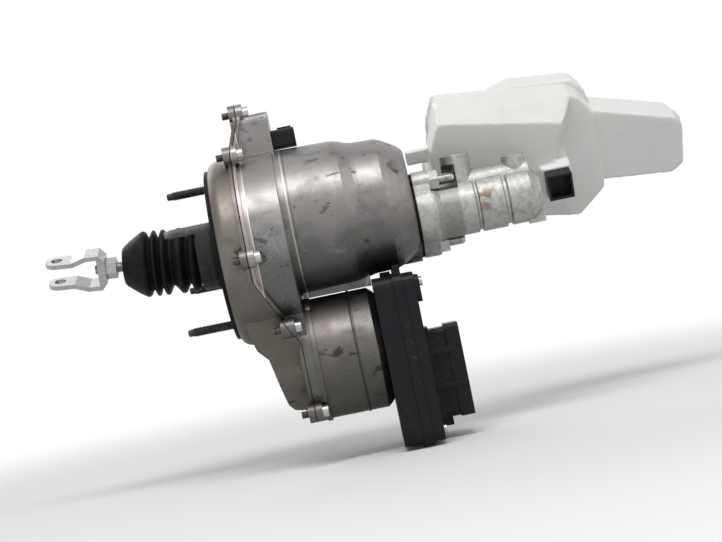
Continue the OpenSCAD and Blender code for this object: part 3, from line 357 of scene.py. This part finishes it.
def dark_steel(name, colour, rubbed):
    """Phosphated steel studs: near black, a little grey where a nut has rubbed."""
    f = Finish(name, colour, 0.5, 0.85, 0.2 * MM)
    f.paint(f.ramp(f.noise(4 * MM, 4), 0.48, 0.68), rubbed, 0.6)
    f.gloss(f.ramp(f.noise(2 * MM, 3, seed=2), 0.4, 0.7), 0.65, 0.7)
    f.paint(f.wear(0.05, 0.3), shaded(rubbed, 1.8), 0.6)
    f.relief(f.noise(0.8 * MM, 3, seed=3), 0.03 * MM, 0.6)
    return f.done()


def moulded(name, colour, rough):
    """Moulded plastic: fine grain, dull handled patches, dust, a few scuffs and greyer edges."""
    f = Finish(name, colour, rough, 0.0, 0.6 * MM)
    f.shader.inputs["Specular IOR Level"].default_value = 0.2
    handled = f.ramp(f.noise(22 * MM, 4, seed=2, warp=0.6), 0.45, 0.7)
    f.paint(handled, [c + 0.012 for c in colour], 0.25)
    motes = f.ramp(f.noise(1.6 * MM, 3, seed=3, warp=0.8), 0.7, 0.74)
    f.paint(motes, (0.2, 0.195, 0.18), 0.25)
    scuffs = f.scratches(4 * MM, 9, (0.3, 0.8, 0), 7, 0.008, 0.3)
    f.paint(scuffs, (0.12, 0.12, 0.125), 0.5)
    f.gloss(f.ramp(f.noise(14 * MM, 4, seed=4), 0.4, 0.65), rough + 0.15, 0.8)
    f.gloss(scuffs, 0.6, 0.6)
    f.paint(f.wear(0.03, 0.3), [c + 0.05 for c in colour], 0.6)
    f.relief(f.noise(0.7 * MM, 3, seed=1), 0.03 * MM, 0.55)
    f.relief(f.noise(12 * MM, 2, seed=5), 0.1 * MM, 0.3)
    return f.done()


def rubber(name, colour, dusty):
    """Moulded rubber: matte, paler where it has been handled."""
    f = Finish(name, colour, 0.52, 0.0, 0.5 * MM)
    f.shader.inputs["Specular IOR Level"].default_value = 0.14
    f.paint(f.ramp(f.noise(13 * MM, 5, (2, 1, 1), warp=0.5), 0.5, 0.75), dusty, 0.6)
    motes = f.ramp(f.noise(1.8 * MM, 4, seed=2, warp=0.8), 0.68, 0.73)
    f.paint(motes, shaded(dusty, 3), 0.35)
    f.gloss(f.ramp(f.noise(9 * MM, 4, seed=3), 0.4, 0.7), 0.68, 0.8)
    f.relief(f.noise(0.6 * MM, 3, seed=4), 0.025 * MM, 0.6)
    f.relief(f.noise(6 * MM, 3, seed=5), 0.08 * MM, 0.4)
    return f.done()


def ivory(name):
    """Moulded polypropylene: milky, light passes a little way in, faint handling dirt."""
    f = Finish(name, (0.9, 0.895, 0.875), 0.36, 0.0, 0.0)
    f.shader.inputs["Subsurface Weight"].default_value = 0.3
    f.shader.inputs["Subsurface Radius"].default_value = (1.0, 0.95, 0.85)
    f.shader.inputs["Subsurface Scale"].default_value = 3 * MM
    f.shader.inputs["IOR"].default_value = 1.5
    f.paint(f.ramp(f.noise(55 * MM, 3, warp=0.8), 0.4, 0.7), (0.85, 0.84, 0.8), 0.5)
    smears = f.ramp(f.noise(16 * MM, 5, (1.4, 1, 1), seed=2, warp=1.0), 0.57, 0.75)
    f.paint(smears, (0.72, 0.71, 0.67), 0.25)
    motes = f.ramp(f.noise(2 * MM, 5, seed=3, warp=1.0), 0.71, 0.74)
    f.paint(motes, (0.4, 0.385, 0.35), 0.4)
    f.paint(f.scratches(9 * MM, 12, (0.4, 0.5, 0), 8, 0.006, 0.3), (0.68, 0.67, 0.64), 0.3)
    f.gloss(f.ramp(f.noise(20 * MM, 4, seed=4), 0.4, 0.7), 0.48, 0.8)
    f.relief(f.noise(9 * MM, 3, seed=5), 0.22 * MM, 0.3)
    f.relief(f.noise(1.4 * MM, 3, seed=6), 0.02 * MM, 0.4)
    return f.done()


def plain_metal(name, colour, rough):
    """Inner metal parts: machined, lightly oiled."""
    f = Finish(name, colour, rough, 1.0, 0.2 * MM)
    f.paint(f.ramp(f.noise(8 * MM, 3, warp=0.5), 0.4, 0.65), shaded(colour, 0.7), 0.6)
    lines = f.noise(0.5 * MM, 2, (1, 30, 30), seed=2)
    f.paint(f.ramp(lines, 0.4, 0.65), shaded(colour, 0.82), 0.5)
    f.gloss(f.ramp(f.noise(3 * MM, 3, seed=3), 0.4, 0.7), rough + 0.15, 0.7)
    f.relief(lines, 0.008 * MM, 0.5)
    return f.done()


def circuit_board():
    """Green solder mask with lighter tracks and pads."""
    f = Finish("circuit_board", (0.012, 0.09, 0.045), 0.35, 0.0, 0.1 * MM)
    off = f.maths("ABSOLUTE", f.maths("SUBTRACT", f.noise(3 * MM, 0, (1, 1, 5)), 0.5))
    tracks = f.ramp(off, 0.03, 0.01)
    f.paint(tracks, (0.03, 0.17, 0.08), 0.9)
    f.paint(f.specks(2.2 * MM, 0.35, seed=3, radius=0.22), (0.55, 0.53, 0.45), 0.9)
    f.gloss(f.noise(1 * MM, 3, seed=4), 0.5, 0.4)
    f.relief(tracks, 0.05 * MM, 0.6)
    return f.done()


def make_materials():
    """One finish for each material slot of the record, and a few of its variations."""
    return {
        # Each worn metal below carries painted shade on its low side, darker below the heights given
        "cast_cover": worn_metal(
            "cover_metal", colour=(0.2, 0.187, 0.17), dark=(0.075, 0.064, 0.054),
            warm=(0.155, 0.136, 0.114), rough=0.42, brushed=(1, 5, 5), smudged=1.1,
            low_shade=(10 * MM, -70 * MM, (0.13, 0.118, 0.102)),
        ),
        "cast_housing": worn_metal(
            "barrel_metal", colour=(0.275, 0.267, 0.262), dark=(0.095, 0.092, 0.086),
            warm=(0.225, 0.207, 0.2), rough=0.38, brushed=(7, 1, 1), smudged=1.0,
            low_shade=(22 * MM, -22 * MM, (0.105, 0.106, 0.099)),
            # The band at 28 mm and the bright lines at 30.8 and 64 mm are painted highlights on the flange
            # and seam; the dark line at 66.3 mm is a seam
            seams_and_highlights=(
                (28 * MM, 2.6 * MM, (0.36, 0.318, 0.3)),
                (30.8 * MM, 0.4 * MM, (0.62, 0.58, 0.55)),
                (64 * MM, 0.45 * MM, (0.55, 0.52, 0.49)),
                (66.3 * MM, 0.5 * MM, (0.12, 0.115, 0.11)),
            ),
        ),
        "motor_metal": worn_metal(
            "motor_metal", colour=(0.18, 0.169, 0.16), dark=(0.055, 0.052, 0.048),
            warm=(0.155, 0.128, 0.128), rough=0.42, brushed=(1, 7, 7), smudged=1.1,
            low_shade=(-88 * MM, -125 * MM, (0.095, 0.094, 0.082)),
            seams_and_highlights=((97 * MM, 0.45 * MM, (0.03, 0.028, 0.025)),),
        ),
        "mc_alloy": cast_alloy(),
        "zinc": plated("zinc_plate", (0.5, 0.5, 0.49)),
        "fork_zinc": plated("fork_zinc", (0.42, 0.42, 0.41), 0.3, (0.36, 0.355, 0.36), 0.6),
        "dark_steel": dark_steel("dark_steel", (0.06, 0.056, 0.054), (0.16, 0.15, 0.14)),
        # Lighter copy of the dark stud finish: painted light for the stud nearest the camera
        "painted_light_steel": dark_steel("painted_light_steel", (0.19, 0.18, 0.178), (0.32, 0.3, 0.295)),
        "bright_steel": plain_metal("bright_steel", (0.5, 0.5, 0.5), 0.25),
        "rubber": rubber("rubber", (0.006, 0.006, 0.0065), (0.02, 0.0195, 0.0185)),
        "dusty_rubber": rubber("dusty_rubber", (0.045, 0.044, 0.042), (0.1, 0.095, 0.088)),
        "black_plastic": moulded("black_plastic", (0.0085, 0.0092, 0.012), 0.4),
        "ivory_plastic": ivory("ivory_plastic"),
        "copper": plain_metal("copper_wire", (0.7, 0.32, 0.16), 0.35),
        "contact": plain_metal("contact_metal", (0.72, 0.6, 0.36), 0.25),
        "board": circuit_board(),
        "magnet": plain_metal("magnet_metal", (0.12, 0.12, 0.13), 0.4),
    }


# Mesh helpers


def mesh_piece(name, points, faces, material, smooth=True):
    """A piece with the faces, its doubled points joined and its faces turned outwards."""
    mesh = bpy.data.meshes.new(name)
    mesh.from_pydata([tuple(p) for p in points], [], faces)
    mesh.materials.append(material)
    piece = new_object(name, mesh)
    work = bmesh.new()
    work.from_mesh(mesh)
    bmesh.ops.remove_doubles(work, verts=work.verts, dist=1e-7)
    bmesh.ops.recalc_face_normals(work, faces=work.faces)
    work.to_mesh(mesh)
    work.free()
    mesh.polygons.foreach_set("use_smooth", [smooth] * len(mesh.polygons))
    return piece


def node_copy(node):
    """An editable copy of a CAD node's mesh."""
    source = frame["nodes"][node]
    work = bmesh.new()
    work.from_mesh(source.data)
    work.transform(source.matrix_world)
    return work


def hang(piece, body, slot, *replaced):
    """Rides the piece on its body and hides the CAD nodes it stands for; the slot is not used."""
    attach(piece, body)
    if replaced:
        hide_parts(*replaced)
    return piece


def in_metres(pairs):
    """Pairs of millimetres as pairs of metres."""
    return [(a * MM, b * MM) for a, b in pairs]


def grid_faces(rows, count, close_rows=False):
    """Quads between rows of count points, each row a closed ring."""
    faces = []
    for i in range(rows if close_rows else rows - 1):
        for j in range(count):
            a, b = i * count + j, i * count + (j + 1) % count
            k = (i + 1) % rows * count
            faces.append((a, b, k + (j + 1) % count, k + j))
    return faces


def bar_faces(rows, count):
    """Faces of a bar held as rows of points, with both of its ends closed."""
    last = (rows - 1) * count
    return grid_faces(rows, count) + [tuple(range(count)), tuple(range(last, last + count))]


def curve_through(points, steps):
    """Catmull-Rom curve through 2D points."""
    points = [np.array(p, float) for p in points]
    padded = [2 * points[0] - points[1], *points, 2 * points[-1] - points[-2]]
    out = []
    for i in range(1, len(padded) - 2):
        a, b, c, d = padded[i - 1:i + 3]
        for k in range(steps):
            t = k / steps
            out.append(0.5 * (2 * b + (c - a) * t + (2 * a - 5 * b + 4 * c - d) * t ** 2
                              + (3 * b - a - 3 * c + d) * t ** 3))
    out.append(points[-1])
    return out


def turned_points(section, count, place):
    """Rings of points for (x, radius) pairs turned about the X axis and put in place."""
    turns = [2 * math.pi * j / count for j in range(count)]
    return [place(Vector((x, r * math.sin(a), r * math.cos(a)))) for x, r in section for a in turns]


def rod_place(point):
    """A point of the level push rod, tilted about its ball."""
    return Matrix.Translation(BALL) @ Matrix.Rotation(ROD_TILT, 4, "Y") @ (point - BALL)


# Boot

# Ridges and grooves of the bellows from the cuff to the nose, (x, radius) in mm
BOOT_RIDGES = [
    (-18, 22.6), (-22.4, 22.8), (-23.2, 26), (-25.5, 28.2), (-28.3, 28), (-31.5, 21), (-35.5, 27.4),
    (-37.8, 28.4), (-40, 27.6), (-45.7, 21), (-49.8, 27.4), (-51.7, 28.5), (-53.3, 27.6), (-56, 22.4),
    (-58.4, 27.8), (-59.6, 28.6), (-60.8, 27.9), (-63.7, 23.2), (-66.5, 27.6), (-68.8, 28.6), (-71, 27.8),
    (-78, 23.4), (-86, 17.5),
]
BOOT_NOSE = -88 * MM
BOOT_WALL = 1.6 * MM
NOSE_SHOULDER = (-87.6 * MM, 15.5 * MM)
NOSE_FACE_R = 9 * MM
# Past this place the inner skin lies further in, for a thicker nose
THICK_FROM = -80 * MM
THICKER_BY = 1 * MM
ROD_R = 4.75 * MM
MOUTH_R = ROD_R + 0.3 * MM
# Closed section of the cuff on the neck of the cover, (x, radius) in mm
BOOT_CUFF = [
    (-22, 24.5), (-22, 26.1), (-21.5, 26.6), (-13, 26.6), (-12, 26.6), (-11, 27.5), (-8, 27.5), (-7, 26.6),
    (-4.6, 26.6), (-4, 26), (-4, 25.02), (-15, 25.02), (-15, 24.5),
]
BOOT_POINTS = 112


def turned_piece(name, section, material, place):
    """Closed section of (x, radius) pairs turned about the X axis."""
    points = turned_points(section, BOOT_POINTS, place)
    return mesh_piece(name, points, grid_faces(len(section), BOOT_POINTS, close_rows=True), material)


def make_boot(material):
    """Bellows turned about the tilted push rod."""
    ridges = in_metres(BOOT_RIDGES)
    nose = [NOSE_SHOULDER, (BOOT_NOSE, NOSE_FACE_R), (BOOT_NOSE, MOUTH_R)]
    outside = curve_through(ridges, 6) + curve_through(nose, 3)
    inside = [
        (x + THICKER_BY if x < THICK_FROM else x, r - BOOT_WALL)
        for x, r in reversed(curve_through(ridges, 3))
    ]
    section = outside + [(BOOT_NOSE + BOOT_WALL, MOUTH_R)] + inside
    return turned_piece("boot_bellows", section, material, rod_place)


def make_cuff(material):
    """Stretched cuff that holds the boot on the neck of the cover."""
    return turned_piece("boot_cuff_skin", in_metres(BOOT_CUFF), material, lambda p: p)


# Threads

M8_PITCH = 1.25 * MM
M10_PITCH = 1.5 * MM
# Depth and length of the run-out, as shares of the pitch
THREAD_DEPTH = 0.61
RUN_OUT = 1.2
FLANK_CURVE = 0.9
ROWS_PER_PITCH = 8
BAR_POINTS = 40


def thread_bar(x0, x1, radius, pitch, place):
    """Closed bar along X with a V thread cut in it and run-out at both ends."""
    depth = THREAD_DEPTH * pitch
    rows = max(8, int((x1 - x0) / pitch * ROWS_PER_PITCH))
    points = []
    for i in range(rows + 1):
        x = x0 + (x1 - x0) * i / rows
        ends = min(x - x0, x1 - x) / (RUN_OUT * pitch)
        for j in range(BAR_POINTS):
            a = 2 * math.pi * j / BAR_POINTS
            phase = (x / pitch - j / BAR_POINTS) % 1.0
            cut = depth * abs(2 * phase - 1) ** FLANK_CURVE
            r = min(radius - cut, radius - depth + depth * min(1, max(0, ends)))
            points.append(place(Vector((x, r * math.sin(a), r * math.cos(a)))))
    return points, bar_faces(rows + 1, BAR_POINTS)


def plain_bar(section, place):
    """Turned bar through (x, radius) pairs, closed at both ends."""
    return turned_points(section, BAR_POINTS, place), bar_faces(len(section), BAR_POINTS)


def joined(parts):
    """Points and faces of several parts as those of one."""
    points, faces = [], []
    for p, f in parts:
        base = len(points)
        points += p
        faces += [tuple(base + i for i in face) for face in f]
    return points, faces


# Firewall studs: thread, shank through the gasket, collar in the cover and dog point
STUD_R = 4 * MM
STUD_CIRCLE_R = 65 * MM
STUD_TIP = -42 * MM
STUD_THREAD = (STUD_TIP + 4.6 * MM, -1.5 * MM)
STUD_SHANK = in_metres([(-2.6, 3.9), (0.5, 3.9)])
STUD_COLLAR = in_metres([(0.4, 4.6), (6.5, 4.6)])
STUD_POINT = [(STUD_TIP + 5.4 * MM, 3 * MM), (STUD_TIP + 1 * MM, 3 * MM), (STUD_TIP + 0.1 * MM, 2.2 * MM)]


def make_studs(name, material, quarters):
    """Firewall studs with rolled M8 threads, one for each of the quarter turns."""
    parts = []
    for k in quarters:
        turn = Matrix.Rotation(CAR_ROLL + math.pi / 4 + k * math.pi / 2, 4, "X")

        def place(p, turn=turn):
            return turn @ (p + Vector((0, STUD_CIRCLE_R, 0)))

        parts += [plain_bar(section, place) for section in (STUD_SHANK, STUD_COLLAR)]
        parts.append(thread_bar(*STUD_THREAD, STUD_R, M8_PITCH, place))
        parts.append(plain_bar(STUD_POINT, place))
    return mesh_piece(name, *joined(parts), material)


# Studs of the master cylinder, to either side of its bore
CYLINDER_STUD_R = 5 * MM
CYLINDER_STUD_OFF = 29 * MM
CYLINDER_SHANK = in_metres([(162.5, 4.95), (184, 4.95)])
CYLINDER_THREAD = (182 * MM, 206.6 * MM)
CYLINDER_POINT = in_metres([(205, 3.9), (207, 3.9), (208, 3)])


def make_cylinder_studs(material):
    """Two M10 studs with rolled threads showing past the nuts."""
    parts = []
    for side in (-1, 1):
        def place(p, side=side):
            return p + CAR_SIDE * (side * CYLINDER_STUD_OFF)

        parts.append(plain_bar(CYLINDER_SHANK, place))
        parts.append(thread_bar(*CYLINDER_THREAD, CYLINDER_STUD_R, M10_PITCH, place))
        parts.append(plain_bar(CYLINDER_POINT, place))
    return mesh_piece("cylinder_stud_threads", *joined(parts), material)


# Push rod, from the centre of its ball: ball, neck, plain rod and thread
BALL_R = 5 * MM
BALL_POLE_R = 0.02 * MM
BALL_RINGS = 24
BALL_OPEN = 0.69
ROD_NECK_R = 3.2 * MM
ROD_SHAPE = [(-3.5 * MM, ROD_NECK_R), (-13 * MM, ROD_NECK_R), (-14.5 * MM, ROD_R), (-66 * MM, ROD_R)]
ROD_THREAD = (-107 * MM, -64 * MM)


def make_rod(material):
    """Push rod: ball, neck and the thread that carries the clevis and its nut."""
    def place(p):
        return rod_place(p + BALL)

    ball = [
        (BALL_R * math.cos(a), max(BALL_POLE_R, BALL_R * math.sin(a)))
        for a in np.linspace(0.0, math.pi - BALL_OPEN, BALL_RINGS)
    ]
    parts = [
        plain_bar(ball, place),
        plain_bar(ROD_SHAPE, place),
        thread_bar(*ROD_THREAD, ROD_R, M10_PITCH, place),
    ]
    return mesh_piece("push_rod_thread", *joined(parts), material)


# Screws

SCREW_HEAD = 6.5 * MM


def loose_parts(work):
    """The faces of each part of a mesh that hangs together by itself."""
    seen = set()
    for start in work.faces:
        if start in seen:
            continue
        part, queue = [], [start]
        seen.add(start)
        while queue:
            face = queue.pop()
            part.append(face)
            for edge in face.edges:
                for other in edge.link_faces:
                    if other not in seen:
                        seen.add(other)
                        queue.append(other)
        yield part


def two_tone(name, node, heads, shanks):
    """A CAD node of loose screws, with the shanks in a darker finish than the heads."""
    work = node_copy(node)
    bmesh.ops.remove_doubles(work, verts=work.verts, dist=1e-6)
    for screw in loose_parts(work):
        tip = max(v.co.x for face in screw for v in face.verts)
        for face in screw:
            face.material_index = int(face.calc_center_median().x < tip - SCREW_HEAD)
    mesh = bpy.data.meshes.new(name)
    work.to_mesh(mesh)
    work.free()
    mesh.materials.append(heads)
    mesh.materials.append(shanks)
    return new_object(name, mesh)


# Reservoir

# Corners of the lower shell's sloping wall at two heights, (x, sideways) in mm
WEDGE_LOW_UP = 40
WEDGE_LOW = [(190, -26), (193, 40), (204, 66), (314, 45), (299, 8), (292, -10), (276, -26)]
WEDGE_HIGH_UP = 69.5
WEDGE_HIGH = [
    (188.5, -30), (189, 10), (197, 33), (199, 52), (207, 72), (326, 59), (328, 56), (303, -4), (296, -20),
    (276, -28),
]
SKIN_VOXEL = 1.3 * MM
SKIN_PASSES = 7


def car_point(x, up, side):
    """A point given in mm along the car's own directions."""
    return Vector((x * MM, 0, 0)) + CAR_UP * (up * MM) + CAR_SIDE * (side * MM)


def add_wedge(work):
    """Adds the sloping wall to the mesh as the hull of its corners."""
    corners = [work.verts.new(car_point(x, WEDGE_LOW_UP, side)) for x, side in WEDGE_LOW]
    corners += [work.verts.new(car_point(x, WEDGE_HIGH_UP, side)) for x, side in WEDGE_HIGH]
    hull = bmesh.ops.convex_hull(work, input=corners)
    sides = [part for part in hull["geom"] if isinstance(part, bmesh.types.BMFace)]
    bmesh.ops.recalc_face_normals(work, faces=sides)


def soft_shell(name, node, material, wedge):
    """The shell of a CAD node with the softened edges of a moulding."""
    work = node_copy(node)
    if wedge:
        add_wedge(work)
    mesh = bpy.data.meshes.new(name)
    work.to_mesh(mesh)
    work.free()
    piece = new_object(name, mesh)
    remesh = piece.modifiers.new("skin", "REMESH")
    remesh.mode = "VOXEL"
    remesh.voxel_size = SKIN_VOXEL
    soften = piece.modifiers.new("soften", "SMOOTH")
    soften.factor = 0.5
    soften.iterations = SKIN_PASSES
    bpy.context.view_layer.update()
    shaped = piece.evaluated_get(bpy.context.evaluated_depsgraph_get())
    solid = bpy.data.meshes.new_from_object(shaped)
    piece.modifiers.clear()
    piece.data = solid
    solid.materials.clear()
    solid.materials.append(material)
    solid.polygons.foreach_set("use_smooth", [True] * len(solid.polygons))
    return piece


# Light and backdrop

# Strength of the surroundings where they light the object, and where they are seen or mirrored
WORLD_LIGHT = 0.34
WORLD_SEEN = 1.0
WHITE = (1, 1, 1, 1)

FLOOR_Z = -0.1935
FLOOR_HALF = 6
# The floor's colour where it throws light on the object, and where it is seen or mirrored
FLOOR_LIGHT = (0.5, 0.5, 0.5)
FLOOR_SEEN = (0.95, 0.95, 0.95)
# Distances from the origin over which the floor turns into the white of the surroundings
FADE_FROM = 0.45
FADE_TO = 1.1

# Lamps: name, place, aim, (width, height), watts
LAMPS = [
    ("key", (0.1, -0.95, 1.45), (0.1, 0, 0), (1.3, 0.5), 16),
    ("fill", (1.4, -0.9, 0.7), (0.15, 0, 0), (0.8, 0.8), 2.5),
    ("back", (-0.6, 1.3, 0.9), (0.1, 0, 0), (1.0, 0.6), 5),
]


def light_card(name, at, towards, size, power):
    """A soft lamp: a glowing card that faces its aim."""
    data = bpy.data.lights.new(name, "AREA")
    data.shape = "RECTANGLE"
    data.size, data.size_y = size
    data.energy = power
    lamp = new_object(name, data)
    lamp.location = at
    lamp.rotation_mode = "QUATERNION"
    lamp.rotation_quaternion = (Vector(towards) - Vector(at)).to_track_quat("-Z", "Y")


def make_world():
    """Surroundings that light the object softly and are white to the eye and in reflections."""
    world = bpy.data.worlds.new("studio")
    bpy.context.scene.world = world
    world.use_nodes = True
    nodes, links = world.node_tree.nodes, world.node_tree.links
    path = nodes.new("ShaderNodeLightPath")
    seen = path.outputs["Is Camera Ray"]
    for ray in ("Is Glossy Ray", "Is Transmission Ray"):
        either = nodes.new("ShaderNodeMath")
        either.operation = "MAXIMUM"
        links.new(seen, either.inputs[0])
        links.new(path.outputs[ray], either.inputs[1])
        seen = either.outputs[0]
    level = nodes.new("ShaderNodeMapRange")
    links.new(seen, level.inputs["Value"])
    level.inputs["To Min"].default_value = WORLD_LIGHT
    level.inputs["To Max"].default_value = WORLD_SEEN
    background = nodes["Background"]
    links.new(level.outputs["Result"], background.inputs["Strength"])
    background.inputs["Color"].default_value = WHITE


def floor_material():
    """Near-white paper that turns into the white of the surroundings away from the object."""
    f = Finish("floor_paper", FLOOR_LIGHT, 0.9, edge=0)
    path = f.add("ShaderNodeLightPath")
    seen = f.maths("MAXIMUM", path.outputs["Is Camera Ray"], path.outputs["Is Glossy Ray"])
    seen = f.maths("MAXIMUM", seen, path.outputs["Is Transmission Ray"])
    f.paint(seen, FLOOR_SEEN)
    f.done()
    glow = f.add("ShaderNodeEmission")
    away = f.add("ShaderNodeVectorMath", operation="LENGTH")
    f.put(away.inputs[0], f.place)
    mix = f.add("ShaderNodeMixShader")
    f.put(mix.inputs["Fac"], f.both(seen, f.ramp(away.outputs["Value"], FADE_FROM, FADE_TO)))
    f.put(mix.inputs[1], f.shader.outputs[0])
    f.put(mix.inputs[2], glow.outputs[0])
    f.put(f.nodes["Material Output"].inputs["Surface"], mix.outputs[0])
    return f.material


def make_studio():
    """Pale floor, white surroundings and soft lamps."""
    bpy.context.scene.view_settings.view_transform = "Standard"
    make_world()
    corners = [
        (-FLOOR_HALF, -FLOOR_HALF, FLOOR_Z), (FLOOR_HALF, -FLOOR_HALF, FLOOR_Z),
        (FLOOR_HALF, FLOOR_HALF, FLOOR_Z), (-FLOOR_HALF, FLOOR_HALF, FLOOR_Z),
    ]
    floor = mesh_piece("floor", corners, [(0, 1, 2, 3)], floor_material(), smooth=False)
    for lamp in LAMPS:
        light_card(*lamp)


# Scene

make_camera()
materials = make_materials()
slot_of = {s["node"]: s["material_slot"] for s in frame["record"]["subparts"]}
for node, thing in frame["nodes"].items():
    thing.data.materials.clear()
    thing.data.materials.append(materials[slot_of[node]])

# These are plated greyer than the other fasteners
for node in ("clevis", "jam_nut", "mc_nuts"):
    frame["nodes"][node].data.materials[0] = materials["fork_zinc"]

boot = hang(make_boot(materials["rubber"]), "push_rod", "rubber", "boot")
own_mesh(boot)
hang(make_cuff(materials["dusty_rubber"]), "housing", "rubber", "boot_cuff")
hang(make_rod(materials["fork_zinc"]), "push_rod", "zinc", "input_rod")

# The stud nearest the camera has a lighter copy of the stud finish, painted light, so it is a piece of its
# own
studs = make_studs("firewall_stud_threads", materials["dark_steel"], (0, 2, 3))
hang(studs, "housing", "dark_steel", "firewall_studs")
hang(make_studs("near_stud_thread", materials["painted_light_steel"], (1,)), "housing", "dark_steel")
hang(make_cylinder_studs(materials["zinc"]), "housing", "zinc", "mc_studs")
screws = two_tone("housing_screws_two_tone", "housing_screws", materials["zinc"], materials["dark_steel"])
hang(screws, "housing", "zinc", "housing_screws")

for node, wedge in (("reservoir_lower", True), ("reservoir_upper", False)):
    shell = soft_shell(node + "_skin", node, materials["ivory_plastic"], wedge)
    hang(shell, "housing", "ivory_plastic", node)
make_studio()
